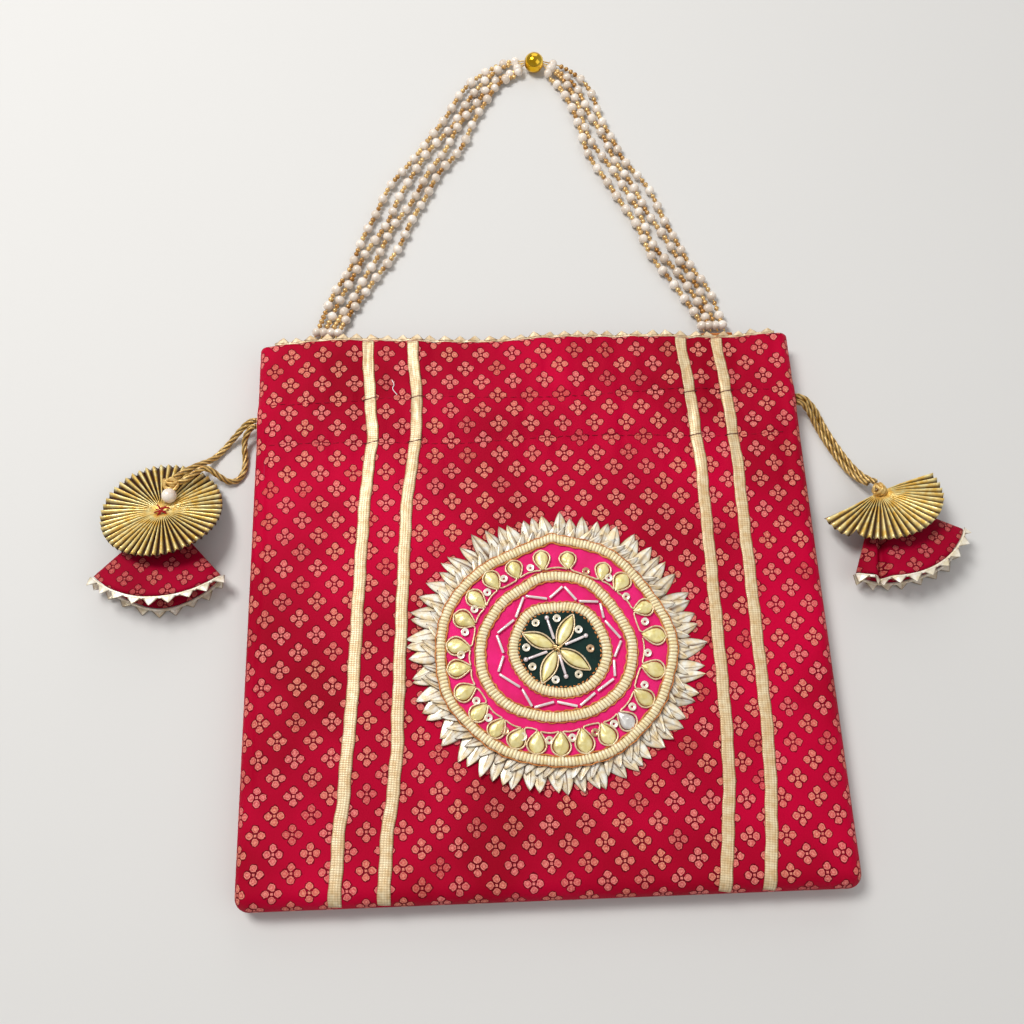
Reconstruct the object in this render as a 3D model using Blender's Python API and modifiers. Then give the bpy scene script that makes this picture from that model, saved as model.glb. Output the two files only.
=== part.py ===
"""Potli bag: a flat drawstring pouch with a beaded handle and two cone tassels.

Metres, +Z up. The bag lies on its back: X runs across the mouth, Y runs up the bag
towards the handle, and Z is 0 on the outside of the back panel.
"""
import math

import bmesh
import bpy
import numpy as np
from mathutils import Matrix, Vector

# Bag body
BAG_WIDTH = 0.216
BAG_HEIGHT = 0.213
BAG_THICKNESS = 0.013
BOTTOM_CORNER = 0.005
BOTTOM_ROW = 0.012
CLOTH = 0.0008
SEAM_GAP = 0.0003
SEAT_GAP = 0.0003
RUFFLE_DROP = 0.0565
RUFFLE_DEPTH = 0.0012
RUFFLE_PITCH = 0.048
MOUTH_WAVE = 0.0008
MOUTH_WAVE_PITCH = 0.090
PANEL_INTERVALS = 17

# Lining pouch
LINING_CLOTH = 0.0005
LINING_EASE = 0.0002
NECK_LINING_HALF = 0.0029
NECK_LINING_INSET = 0.022

# Drawstring casing: two stitch lines with a channel between them, as distances below the mouth
CASING_LOW_DROP = 0.0420
CASING_HIGH_DROP = 0.0220
CASING_PUFF = 0.0005
CORD_DIAMETER = 0.0022
CORD_PITCH = 0.0026
CORD_CLEAR = 0.0003
LEFT_CORD_DROP = 0.0315
RIGHT_CORD_DROP = 0.0260
RUN_LIFT = 0.0043
TURN_INSET = 0.0070
RUN_END_INSET = 0.0205
STRAIGHT_INSET = 0.0110
EXIT_PROUD = 0.0005

# Gold zigzag trim on the mouth and on the tassel hems
TOOTH_PITCH = 0.0063
TOOTH_HEIGHT = 0.0030
TRIM_BAND = 0.0007
TRIM_THICKNESS = 0.0005

# Gota ribbons down the front: (x, y) of the middle line of each
RIBBON_WIDTH = 0.0045
RIBBON_THICKNESS = 0.0003
RIBBON_LINES = {
    "ribbon_outer_left": ((-0.0642, 0.101), (-0.0620, 0.068), (-0.0650, 0.034), (-0.0685, -0.037),
                          (-0.0710, -0.071), (-0.0735, -0.105)),
    "ribbon_inner_left": ((-0.0460, 0.101), (-0.0448, 0.068), (-0.0491, 0.033), (-0.0518, -0.037),
                          (-0.0542, -0.072), (-0.0568, -0.106)),
    "ribbon_inner_right": ((0.0624, 0.101), (0.0647, 0.065), (0.0655, 0.029), (0.0650, -0.041),
                           (0.0635, -0.070), (0.0590, -0.105)),
    "ribbon_outer_right": ((0.0773, 0.101), (0.0793, 0.067), (0.0798, 0.029), (0.0796, -0.042),
                           (0.0784, -0.070), (0.0744, -0.105)),
}

# Embroidered patch, built up in layers on the front panel. Its rings are worked a little oval:
# radii are along X, and the whole patch is drawn in along Y
PATCH_OVAL = 0.95
PATCH_X = 0.0055
PATCH_Y = -0.0210
FRINGE_PETALS = 56
FRINGE_INNER = 0.0415
FRINGE_VALLEY = 0.0470
FRINGE_TIP = 0.0540
FRINGE_SLANT = 0.35
FRINGE_THICKNESS = 0.0010
PATCH_RADIUS = 0.0440
PATCH_THICKNESS = 0.0008
BRAID_WIDTH = 0.0036
BRAID_HEIGHT = 0.0015
OUTER_BRAID = 0.0418
MIDDLE_BRAID = 0.0270
INNER_BRAID = 0.0166
DROPS = 23
DROP_POINT = 0.0302
DROP_END = 0.0393
DROP_WIDTH = 0.0062
DROP_CORD = 0.0007
DROP_HEIGHT = 0.0012
STAR_POINTS = 9
STAR_INNER = 0.0194
STAR_OUTER = 0.0236
BUGLE_WIDTH = 0.0010
BUGLE_HEIGHT = 0.0010
GREEN_RADIUS = 0.0143
GREEN_THICKNESS = 0.0004
FLOWER_PETALS = 4
FLOWER_TURN = 60.0
FLOWER_LENGTH = 0.0128
FLOWER_WIDTH = 0.0056
FLOWER_WAIST = 0.0016
FLOWER_HEIGHT = 0.0010

# Beaded handle: the route is (share of the span, height above the hinge line)
HANDLE_INSET_LEFT = 0.0247
HANDLE_INSET_RIGHT = 0.0282
HINGE_Y = 0.0074
HINGE_Z = 0.0031
HANDLE_ROUTE = ((0.000, 0.000), (0.040, 0.0150), (0.103, 0.0354), (0.174, 0.0586), (0.250, 0.0830),
                (0.318, 0.1000), (0.385, 0.1190), (0.434, 0.1310), (0.492, 0.1385), (0.571, 0.1410),
                (0.632, 0.1375), (0.673, 0.1300), (0.698, 0.1205), (0.716, 0.1090), (0.760, 0.0900),
                (0.824, 0.0693), (0.882, 0.0448), (0.930, 0.0303), (0.972, 0.0163), (1.000, 0.000))
BEAD_SHARE = 0.571
STRANDS = 4
STRAND_SPACING = 0.0043
PEARL_DIAMETER = 0.0040
PEARL_PITCH = 0.0083
SEED_DIAMETER = 0.0016
THREAD_DIAMETER = 0.0008
THREAD_SPREAD = 0.0012
STRAND_REST_Z = 0.0022
FAN_OUT = 0.0068
SETTLE = 0.018
SEWN_BARE = 0.0034
GOLD_BEAD_DIAMETER = 0.0090
GOLD_BEAD_BORE = 0.0040
ANCHOR_LENGTH = 0.015
ANCHOR_HEIGHT = 0.0018

# Tassels: places and cord routes are offsets from the slit where the cords come out
LEFT_TASSEL = (-0.0336, -0.0367)
RIGHT_TASSEL = (0.0272, -0.0420)
LEFT_HEADING = -91.0
RIGHT_HEADING = -69.5
ROSETTE_RADIUS = 0.0220
ROSETTE_PLEATS = 48
PLEAT_DEPTH = 0.0028
PLEAT_THICKNESS = 0.0004
CONE_SLANT = 0.0345
CONE_HALF_ANGLE = 43.0
CONE_APEX = 0.0030
APEX_Z = 0.0055
APEX_HALF_HEIGHT = 0.0012
HEM_HALF_HEIGHT = 0.0070
HEM_FLOOR_GAP = 0.0002
CONE_CLOTH = 0.0008
KNOT_DIAMETER = 0.0040
TASSEL_PEARL_DIAMETER = 0.0058

LEFT_ROUTE_A = ((0.0, 0.0013, 0.0065), (-0.0037, 0.0002, 0.0059), (-0.0077, -0.0030, 0.0036),
                (-0.0117, -0.0070, 0.0017), (-0.0157, -0.0114, 0.0014), (-0.0184, -0.0142, 0.0029),
                (-0.0208, -0.0164, 0.0054), (-0.0234, -0.0184, 0.0071), (-0.0262, -0.0206, 0.0083),
                (-0.0295, -0.0234, 0.0092))
LEFT_ROUTE_B = ((0.0, -0.0013, 0.0065), (-0.0026, -0.0026, 0.0061), (-0.0045, -0.0056, 0.0043),
                (-0.0049, -0.0096, 0.0024), (-0.0046, -0.0138, 0.0014), (-0.0050, -0.0182, 0.0012),
                (-0.0072, -0.0218, 0.0012), (-0.0106, -0.0228, 0.0024), (-0.0138, -0.0214, 0.0050),
                (-0.0164, -0.0198, 0.0072), (-0.0190, -0.0192, 0.0079), (-0.0216, -0.0208, 0.0083),
                (-0.0248, -0.0238, 0.0089), (-0.0280, -0.0256, 0.0093))
LEFT_KNOT = (-0.0310, -0.0260, 0.0094)
LEFT_PEARL = (-0.0310, -0.0313, 0.0108)
RIGHT_ROUTE_A = ((0.0, 0.0013, 0.0065), (0.0042, 0.0003, 0.0058), (0.0080, -0.0033, 0.0038),
                 (0.0107, -0.0081, 0.0020), (0.0131, -0.0133, 0.0014), (0.0157, -0.0187, 0.0013),
                 (0.0185, -0.0241, 0.0014), (0.0213, -0.0293, 0.0024), (0.0239, -0.0337, 0.0046),
                 (0.0273, -0.0371, 0.0072))
RIGHT_ROUTE_B = ((0.0, -0.0013, 0.0065), (0.0032, -0.0021, 0.0058), (0.0060, -0.0051, 0.0038),
                 (0.0084, -0.0095, 0.0020), (0.0108, -0.0146, 0.0014), (0.0134, -0.0200, 0.0013),
                 (0.0162, -0.0254, 0.0014), (0.0190, -0.0305, 0.0024), (0.0216, -0.0347, 0.0046),
                 (0.0240, -0.0375, 0.0072))
RIGHT_KNOT = (0.0262, -0.0398, 0.00765)

HALF_WIDTH = BAG_WIDTH / 2
MOUTH_Y = BAG_HEIGHT / 2
BOTTOM_Y = -BAG_HEIGHT / 2
MID_Z = BAG_THICKNESS / 2
EDGE_RADIUS = BAG_THICKNESS / 2
FACE_Z = BAG_THICKNESS
CORD_RADIUS = CORD_DIAMETER / 2
RUFFLE_START = MOUTH_Y - RUFFLE_DROP
CASING_LOW = MOUTH_Y - CASING_LOW_DROP
CASING_HIGH = MOUTH_Y - CASING_HIGH_DROP
LEFT_CORD_Y = MOUTH_Y - LEFT_CORD_DROP
RIGHT_CORD_Y = MOUTH_Y - RIGHT_CORD_DROP


def clear_scene():
    for item in list(bpy.data.objects):
        bpy.data.objects.remove(item, do_unlink=True)
    for name in ("Collection", "potli_bag", "cutters"):
        group = bpy.data.collections.get(name)
        if group:
            bpy.data.collections.remove(group)
    parts = bpy.data.collections.new("potli_bag")
    cutters = bpy.data.collections.new("cutters")
    for group in (parts, cutters):
        bpy.context.scene.collection.children.link(group)
    return parts, cutters


def material(name, colour, roughness, metallic=0.0):
    made = bpy.data.materials.get(name)
    if made:
        return made
    made = bpy.data.materials.new(name)
    made.use_nodes = True
    shader = made.node_tree.nodes["Principled BSDF"]
    shader.inputs["Base Color"].default_value = (*colour, 1.0)
    shader.inputs["Roughness"].default_value = roughness
    shader.inputs["Metallic"].default_value = metallic
    return made


def crimson_brocade():
    return material("crimson_brocade", (0.55, 0.0, 0.05), 0.6)


def pink_lining():
    return material("pink_lining", (0.62, 0.02, 0.10), 0.7)


def pale_gota():
    return material("pale_gota", (0.80, 0.68, 0.36), 0.35, 0.6)


def gold_foil():
    return material("gold_foil", (0.72, 0.48, 0.14), 0.3, 0.8)


def twisted_zari():
    return material("twisted_zari", (0.48, 0.30, 0.08), 0.45, 0.6)


def pearl_white():
    return material("pearl_white", (0.87, 0.77, 0.68), 0.25)


def collection_link(item, finish):
    item.data.materials.append(finish)
    bpy.data.collections["potli_bag"].objects.link(item)
    return item


def mesh_object(name, bm, finish, smooth_angle=None):
    mesh = bpy.data.meshes.new(name)
    bm.to_mesh(mesh)
    bm.free()
    if smooth_angle is not None:
        mesh.shade_smooth()
        mesh.set_sharp_from_angle(angle=math.radians(smooth_angle))
    return collection_link(bpy.data.objects.new(name, mesh), finish)


def loft(sections, ring=False, cap_start=False):
    """Quads between neighbouring sections, each a row or a ring of as many points."""
    bm = bmesh.new()
    rows = [[bm.verts.new(point) for point in section] for section in sections]
    count = len(rows[0])
    if ring:
        rows = [row[::-1] for row in rows]
    for low, high in zip(rows, rows[1:]):
        for i in range(count if ring else count - 1):
            j = (i + 1) % count
            bm.faces.new((low[i], low[j], high[j], high[i]))
    if cap_start:
        bm.faces.new(rows[0][::-1])
    return bm


def thicken(item, thickness, offset):
    shell = item.modifiers.new("cloth", "SOLIDIFY")
    shell.thickness = thickness
    shell.offset = offset
    shell.use_even_offset = False
    return item


def flat_piece(name, outlines, low, height, finish, location=(0.0, 0.0)):
    """A flat piece cut from outlines in the plane; a second outline is a hole."""
    curve = bpy.data.curves.new(name, "CURVE")
    curve.dimensions = "2D"
    curve.fill_mode = "BOTH"
    curve.extrude = height / 2
    for outline in outlines:
        spline = curve.splines.new("POLY")
        spline.points.add(len(outline) - 1)
        for point, (x, y) in zip(spline.points, outline):
            point.co = (x, y, 0.0, 1.0)
        spline.use_cyclic_u = True
    item = bpy.data.objects.new(name, curve)
    item.location = (location[0], location[1], low + height / 2)
    return collection_link(item, finish)


def circle(radius, count, turn=0.0):
    angles = [turn + 2 * math.pi * i / count for i in range(count)]
    return [(radius * math.cos(a), radius * math.sin(a)) for a in angles]


def tube(name, points, radii, depth, finish, resolution=2):
    curve = bpy.data.curves.new(name, "CURVE")
    curve.dimensions = "3D"
    curve.fill_mode = "FULL"
    curve.bevel_depth = depth
    curve.bevel_resolution = resolution
    curve.use_fill_caps = True
    spline = curve.splines.new("POLY")
    spline.points.add(len(points) - 1)
    for target, point, radius in zip(spline.points, points, radii):
        target.co = (*point, 1.0)
        target.radius = radius
    return collection_link(bpy.data.objects.new(name, curve), finish)


def smooth_route(points, spacing):
    """Evenly spaced points on a Catmull-Rom curve through the given ones."""
    keys = [Vector(p) for p in points]
    keys = [2 * keys[0] - keys[1]] + keys + [2 * keys[-1] - keys[-2]]
    fine = []
    steps = 24
    for a, b, c, d in zip(keys, keys[1:], keys[2:], keys[3:]):
        for i in range(steps):
            t = i / steps
            fine.append(0.5 * (2 * b + (c - a) * t + (2 * a - 5 * b + 4 * c - d) * t ** 2
                               + (3 * b - a - 3 * c + d) * t ** 3))
    fine.append(keys[-2])
    path = np.array([tuple(p) for p in fine])
    lengths = np.concatenate(([0.0], np.cumsum(np.linalg.norm(np.diff(path, axis=0), axis=1))))
    count = max(2, round(lengths[-1] / spacing) + 1)
    stations = np.linspace(0.0, lengths[-1], count)
    return [Vector([np.interp(s, lengths, path[:, k]) for k in range(3)]) for s in stations]


def outline_half_width(y):
    depth = BOTTOM_Y + BOTTOM_CORNER - y
    if depth <= 0:
        return HALF_WIDTH
    return HALF_WIDTH - BOTTOM_CORNER + math.sqrt(max(0.0, BOTTOM_CORNER ** 2 - depth ** 2))


def edge_steps():
    """The rounded edge in three flats: distance in from the seam, share of the full height."""
    corner = math.tan(math.radians(15))
    return [(0.0, 0.0), (0.0, corner), (corner * EDGE_RADIUS, 1 - corner), ((1 - corner) * EDGE_RADIUS, 1.0)]


def panel_columns(y, intervals):
    """Places across a panel at one height, each with its share of the full thickness."""
    half = outline_half_width(y)
    steps = edge_steps()
    left = [(-half + inset, share) for inset, share in steps]
    right = [(-x, share) for x, share in reversed(left)]
    inner = np.linspace(left[-1][0], right[0][0], intervals + 1)[1:-1]
    return [*left, *[(x, 1.0) for x in inner], *right]


def edge_rows():
    return [(BOTTOM_Y + inset, share) for inset, share in edge_steps()]


def front_rows():
    body = [BOTTOM_Y + BOTTOM_ROW, PATCH_Y, RUFFLE_START]
    casing = [CASING_LOW, (CASING_LOW + CASING_HIGH) / 2, CASING_HIGH]
    ruffled = [CASING_HIGH + share * (MOUTH_Y - CASING_HIGH) for share in (0.4, 0.75, 1.0)]
    return edge_rows() + [(y, 1.0) for y in body + casing + ruffled]


def ruffle(x, y):
    ramp = min(max((y - RUFFLE_START) / (MOUTH_Y - RUFFLE_START), 0.0), 1.0)
    gather = RUFFLE_DEPTH * ramp * (0.5 + 0.5 * math.sin(2 * math.pi * x / RUFFLE_PITCH))
    puff = 0.0
    if CASING_LOW < y < CASING_HIGH:
        puff = CASING_PUFF * math.sin(math.pi * (y - CASING_LOW) / (CASING_HIGH - CASING_LOW))
    return gather + puff


def panel_rise(share):
    """Height of a panel's outer face above its own seam."""
    return SEAM_GAP / 2 + (EDGE_RADIUS - SEAM_GAP / 2) * share


def front_height(x, y, share):
    return MID_Z + panel_rise(share) + ruffle(x, y) * share


def front_height_on_facets(x, y, along=1.0):
    """The front's height as its facets give it, at one of the panel's rows."""
    columns = panel_columns(y, PANEL_INTERVALS)
    return float(np.interp(x, [c for c, _ in columns], [front_height(c, y, s * along) for c, s in columns]))


def mouth_shift(x):
    columns = [c for c, _ in panel_columns(MOUTH_Y, PANEL_INTERVALS)]
    waves = [MOUTH_WAVE * math.sin(2 * math.pi * c / MOUTH_WAVE_PITCH) for c in columns]
    return float(np.interp(x, columns, waves))


def panel(name, sections):
    """One sewn panel: its edge turns straight down to the seam, then its cloth is given thickness."""
    bm = loft(sections)
    bmesh.ops.remove_doubles(bm, verts=bm.verts, dist=0.00001)
    return thicken(mesh_object(name, bm, crimson_brocade(), 50), CLOTH, -1)


def waved(x, y):
    """The mouth's edge waves a little, and the rows above the casing follow it."""
    return y + max(0.0, (y - CASING_HIGH) / (MOUTH_Y - CASING_HIGH)) * mouth_shift(x)


def front_panel():
    sections = []
    for y, along in front_rows():
        sections.append([(x, waved(x, y), front_height(x, y, share * along))
                         for x, share in panel_columns(y, PANEL_INTERVALS)])
    return panel("front_panel", sections)


def back_panel():
    sections = []
    for y, along in edge_rows() + [(BOTTOM_Y + BOTTOM_ROW, 1.0), (MOUTH_Y, 1.0)]:
        sections.append([(x, y, MID_Z - panel_rise(share * along))
                         for x, share in reversed(panel_columns(y, 4))])
    return panel("back_panel", sections)


def cut_slits(panels, cutters):
    """Unstitched slits in the side seams where the drawstrings come out."""
    reach = CORD_PITCH / 2 + CORD_RADIUS + CORD_CLEAR
    for name, side, y in (("slit_left", -1, LEFT_CORD_Y), ("slit_right", 1, RIGHT_CORD_Y)):
        bm = bmesh.new()
        size = (2 * EDGE_RADIUS, 2 * reach, 2 * (CORD_RADIUS + CORD_CLEAR))
        bmesh.ops.create_cube(bm, size=1.0, matrix=Matrix.Diagonal((*size, 1.0)))
        mesh = bpy.data.meshes.new(name)
        bm.to_mesh(mesh)
        bm.free()
        cutter = bpy.data.objects.new(name, mesh)
        cutter.location = (side * HALF_WIDTH, y, MID_Z)
        cutter.hide_render = True
        cutter.display_type = "WIRE"
        cutters.objects.link(cutter)
        for panel in panels:
            cut = panel.modifiers.new(name, "BOOLEAN")
            cut.operation = "DIFFERENCE"
            cut.solver = "EXACT"
            cut.object = cutter


def flat_ring(y, half_width, half_height):
    """A ring round the bag's section: flat above and below, round at both sides."""
    ring = []
    for side in (1, -1):
        for angle in (-90, -45, 0, 45, 90):
            turn = math.radians(angle)
            x = side * (half_width - half_height + half_height * math.cos(turn))
            ring.append((x, y, MID_Z + side * half_height * math.sin(turn)))
    return ring


def lining():
    full = EDGE_RADIUS - CLOTH - SEAM_GAP - LINING_EASE
    side = HALF_WIDTH - CLOTH - SEAM_GAP - 5 * LINING_EASE
    neck_side = HALF_WIDTH - NECK_LINING_INSET
    slope = full
    sections = [
        flat_ring(BOTTOM_Y + 0.55 * EDGE_RADIUS, side - BOTTOM_CORNER, 0.15 * full),
        flat_ring(BOTTOM_Y + 0.85 * EDGE_RADIUS, side - 0.3 * BOTTOM_CORNER, 0.7 * full),
        flat_ring(BOTTOM_Y + 1.5 * EDGE_RADIUS, side - 0.1 * BOTTOM_CORNER, full),
        flat_ring(CASING_LOW - slope / 2, side, full),
        flat_ring(CASING_LOW + slope, neck_side, NECK_LINING_HALF),
        flat_ring(CASING_HIGH + slope / 4, neck_side, NECK_LINING_HALF),
        flat_ring(CASING_HIGH + 1.75 * slope, side, full),
        flat_ring(MOUTH_Y - SEAM_GAP, side, full),
    ]
    item = mesh_object("lining", loft(sections, ring=True, cap_start=True), pink_lining(), 50)
    return thicken(item, LINING_CLOTH, -1)


def mouth_trim(name, height, shift):
    """Folded gota: a narrow band with a row of triangular teeth, along one edge of the mouth."""
    half = HALF_WIDTH - EDGE_RADIUS
    teeth = round(2 * half / TOOTH_PITCH)
    seat = MOUTH_Y + SEAT_GAP
    pitch = 2 * half / teeth

    def point(x, y):
        return x, y + shift(x), height(x)
    edges = [-half + i * pitch for i in range(teeth + 1)]
    bm = loft([[point(x, y) for x in edges] for y in (seat, seat + TRIM_BAND)])
    bm.verts.ensure_lookup_table()
    crest = bm.verts[teeth + 1:]
    for left, right in zip(crest, crest[1:]):
        tip = bm.verts.new(point((left.co.x + right.co.x) / 2, seat + TRIM_BAND + TOOTH_HEIGHT))
        bm.faces.new((left, right, tip))
    return thicken(mesh_object(name, bm, pale_gota()), TRIM_THICKNESS, 0)


def mouth_trims():
    inset = CLOTH / 2
    mouth_trim("mouth_trim_front", lambda x: front_height_on_facets(x, MOUTH_Y) - inset, mouth_shift)
    mouth_trim("mouth_trim_back", lambda x: inset, lambda x: 0.0)


def ribbons():
    """Each ribbon follows the front's facets from the mouth to the bottom seam."""
    out = SEAT_GAP + RIBBON_THICKNESS
    for name, line in RIBBON_LINES.items():
        xs, ys = zip(*sorted(line, key=lambda p: p[1]))
        sections = []
        for y, along in front_rows()[1:]:
            middle = float(np.interp(y, ys, xs))
            lean = min(1.0, (1 - along) / (1 - edge_steps()[1][1]))
            lift = out * math.sqrt(1 - lean ** 2)
            sections.append([(x, waved(x, y) - out * lean, front_height_on_facets(x, y, along) + lift)
                             for x in (middle - RIBBON_WIDTH / 2, middle + RIBBON_WIDTH / 2)])
        thicken(mesh_object(name, loft(sections), pale_gota()), RIBBON_THICKNESS, -1)


def patch_fringe(low):
    """Folded gota leaves round the patch, as one ring with slanted points."""
    outer = []
    step = 2 * math.pi / FRINGE_PETALS
    for i in range(FRINGE_PETALS):
        outer.append((FRINGE_VALLEY, i * step))
        outer.append((FRINGE_TIP, (i + 0.5 + FRINGE_SLANT) * step))
    outline = [(r * math.cos(a), r * math.sin(a)) for r, a in outer]
    hole = circle(FRINGE_INNER, FRINGE_PETALS // 2)
    flat_piece("petal_fringe", (outline, hole), low, FRINGE_THICKNESS, pale_gota(), (PATCH_X, PATCH_Y))


def braid_ring(name, radius, low, segments):
    """A couched braid: a low crowned band turned round the patch's middle."""
    half = BRAID_WIDTH / 2
    crown = BRAID_WIDTH / 5
    profile = [(radius + half, 0.0), (radius - half, 0.0), (radius - crown, BRAID_HEIGHT),
               (radius + crown, BRAID_HEIGHT)]
    bm = bmesh.new()
    verts = [bm.verts.new((x, 0.0, z)) for x, z in profile]
    for i, vert in enumerate(verts):
        bm.edges.new((vert, verts[(i + 1) % len(verts)]))
    item = mesh_object(name, bm, pale_gota())
    item.location = (PATCH_X, PATCH_Y, low)
    turn = item.modifiers.new("turn", "SCREW")
    turn.steps = segments
    turn.render_steps = segments
    turn.use_merge_vertices = True
    turn.merge_threshold = 0.00001


def drop_garland(low):
    """Gold drops, point inward, joined by the pale cord couched round them."""
    step = 2 * math.pi / DROPS
    half = DROP_WIDTH / 2
    belly = DROP_END - half
    outline = []
    for i in range(DROPS):
        turn = i * step
        drop = [(DROP_POINT, -DROP_CORD), (belly, -half)]
        drop += [(belly + half * math.cos(a), half * math.sin(a)) for a in (-0.6, 0.6)]
        drop += [(belly, half), (DROP_POINT, DROP_CORD)]
        outline += [(u * math.cos(turn) - v * math.sin(turn), u * math.sin(turn) + v * math.cos(turn))
                    for u, v in drop]
    hole = circle(DROP_POINT - DROP_CORD, DROPS, step / 2)
    flat_piece("drop_garland", (outline, hole), low, DROP_HEIGHT, gold_foil(), (PATCH_X, PATCH_Y))


def bugle_star(low):
    """A zigzag of bugle beads between the middle and the inner braid."""
    outlines = []
    for grow in (BUGLE_WIDTH / 2, -BUGLE_WIDTH / 2):
        points = []
        for i in range(2 * STAR_POINTS):
            radius = (STAR_OUTER if i % 2 else STAR_INNER) + grow
            points.append((radius, math.pi * i / STAR_POINTS))
        outlines.append([(r * math.cos(a), r * math.sin(a)) for r, a in points])
    silver = material("silver_bugle", (0.80, 0.78, 0.80), 0.2, 0.5)
    flat_piece("bugle_star", outlines, low, BUGLE_HEIGHT, silver, (PATCH_X, PATCH_Y))


def centre_flower(low):
    outline = []
    for i in range(FLOWER_PETALS):
        turn = math.radians(FLOWER_TURN + 360 * i / FLOWER_PETALS)
        petal = ((FLOWER_WAIST, -FLOWER_WAIST / 2), (0.55 * FLOWER_LENGTH, -FLOWER_WIDTH / 2),
                 (FLOWER_LENGTH, 0.0), (0.55 * FLOWER_LENGTH, FLOWER_WIDTH / 2),
                 (FLOWER_WAIST, FLOWER_WAIST / 2))
        outline += [(u * math.cos(turn) - v * math.sin(turn), u * math.sin(turn) + v * math.cos(turn))
                    for u, v in petal]
    flat_piece("centre_flower", (outline,), low, FLOWER_HEIGHT, gold_foil(), (PATCH_X, PATCH_Y))


def patch():
    fringe_low = FACE_Z + SEAT_GAP
    patch_fringe(fringe_low)
    base_low = fringe_low + FRINGE_THICKNESS + SEAT_GAP
    hot_pink = material("hot_pink_raw_silk", (0.76, 0.0, 0.16), 0.7)
    flat_piece("patch_base", (circle(PATCH_RADIUS, 32),), base_low, PATCH_THICKNESS, hot_pink,
               (PATCH_X, PATCH_Y))
    top = base_low + PATCH_THICKNESS + SEAT_GAP
    braid_ring("braid_ring_outer", OUTER_BRAID, top, 28)
    braid_ring("braid_ring_middle", MIDDLE_BRAID, top, 24)
    braid_ring("braid_ring_inner", INNER_BRAID, top, 20)
    drop_garland(top)
    bugle_star(top)
    velvet = material("dark_green_velvet", (0.005, 0.02, 0.015), 0.9)
    flat_piece("green_centre", (circle(GREEN_RADIUS, 24),), top, GREEN_THICKNESS, velvet,
               (PATCH_X, PATCH_Y))
    centre_flower(top + GREEN_THICKNESS + SEAT_GAP)
    for name in ("petal_fringe", "patch_base", "braid_ring_outer", "braid_ring_middle", "braid_ring_inner",
                 "drop_garland", "bugle_star", "green_centre", "centre_flower"):
        bpy.data.objects[name].scale = (1.0, PATCH_OVAL, 1.0)


def hinge_line():
    left = -HALF_WIDTH + HANDLE_INSET_LEFT
    right = HALF_WIDTH - HANDLE_INSET_RIGHT
    return left, right, MOUTH_Y + HINGE_Y


def handle_path():
    """Middle line of the four strands, with the distance along it at each point."""
    left, right, base = hinge_line()
    keys = [(left + share * (right - left), base + height, 0.0) for share, height in HANDLE_ROUTE]
    points = np.array([tuple(p) for p in smooth_route(keys, 0.001)])
    along = np.concatenate(([0.0], np.cumsum(np.linalg.norm(np.diff(points, axis=0), axis=1))))
    return points, along


def ease(value):
    value = min(max(value, 0.0), 1.0)
    return value * value * (3 - 2 * value)


def strand_point(points, along, distance, index, bead_at):
    """A point on one strand: side by side on the surface, gathered inside the bead."""
    x = np.interp(distance, along, points[:, 0])
    y = np.interp(distance, along, points[:, 1])
    end = min(distance, along[-1] - distance)
    ahead = [np.interp(distance + 0.001, along, points[:, k]) for k in (0, 1)]
    behind = [np.interp(distance - 0.001, along, points[:, k]) for k in (0, 1)]
    side = Vector((behind[1] - ahead[1], (ahead[0] - behind[0]) * ease(end / SETTLE))).normalized()
    spread = ease((abs(distance - bead_at) - GOLD_BEAD_DIAMETER / 2) / FAN_OUT)
    tight = (index // 2 - 0.5) * THREAD_SPREAD
    across = tight + ((index - (STRANDS - 1) / 2) * STRAND_SPACING - tight) * spread
    rest = HINGE_Z + (STRAND_REST_Z - HINGE_Z) * ease(end / SETTLE)
    threaded = GOLD_BEAD_DIAMETER / 2 + STRAND_REST_Z / 10 + (index % 2 - 0.5) * THREAD_SPREAD
    return (x + side.x * across, y + side.y * across, threaded + (rest - threaded) * spread)


def bead_strands():
    """Each strand is one line: thread at its ends and in the gold bead, beads between."""
    points, along = handle_path()
    left, right, _ = hinge_line()
    bead_at = float(np.interp(left + BEAD_SHARE * (right - left), points[:, 0], along))
    full = PEARL_DIAMETER / 2
    seed = SEED_DIAMETER / 2
    thread = THREAD_DIAMETER / 2
    clear = GOLD_BEAD_DIAMETER / 2 + FAN_OUT
    spans = ((SEWN_BARE, bead_at - clear), (bead_at + clear, along[-1] - SEWN_BARE))
    for index in range(STRANDS):
        stations = [(0.0, thread), (SEWN_BARE / 3, thread)]
        for start, end in spans:
            count = int((end - start) / PEARL_PITCH)
            pitch = (end - start) / count
            for i in range(count + 1):
                centre = start + i * pitch
                stations.append((centre, full))
                if i < count:
                    stations.append((centre + pitch / 2 - full / 4, seed))
                    stations.append((centre + pitch / 2 + full / 4, seed))
            if end < bead_at:
                for offset in (full - clear, -GOLD_BEAD_DIAMETER / 2, GOLD_BEAD_DIAMETER / 2, clear - full):
                    stations.append((bead_at + offset, thread))
        stations += [(along[-1] - SEWN_BARE / 3, thread), (along[-1], thread)]
        route = [strand_point(points, along, at, index, bead_at) for at, _ in stations]
        tube(f"bead_strand_{index + 1}", route, [size / full for _, size in stations], full, pearl_white(), 0)


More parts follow.
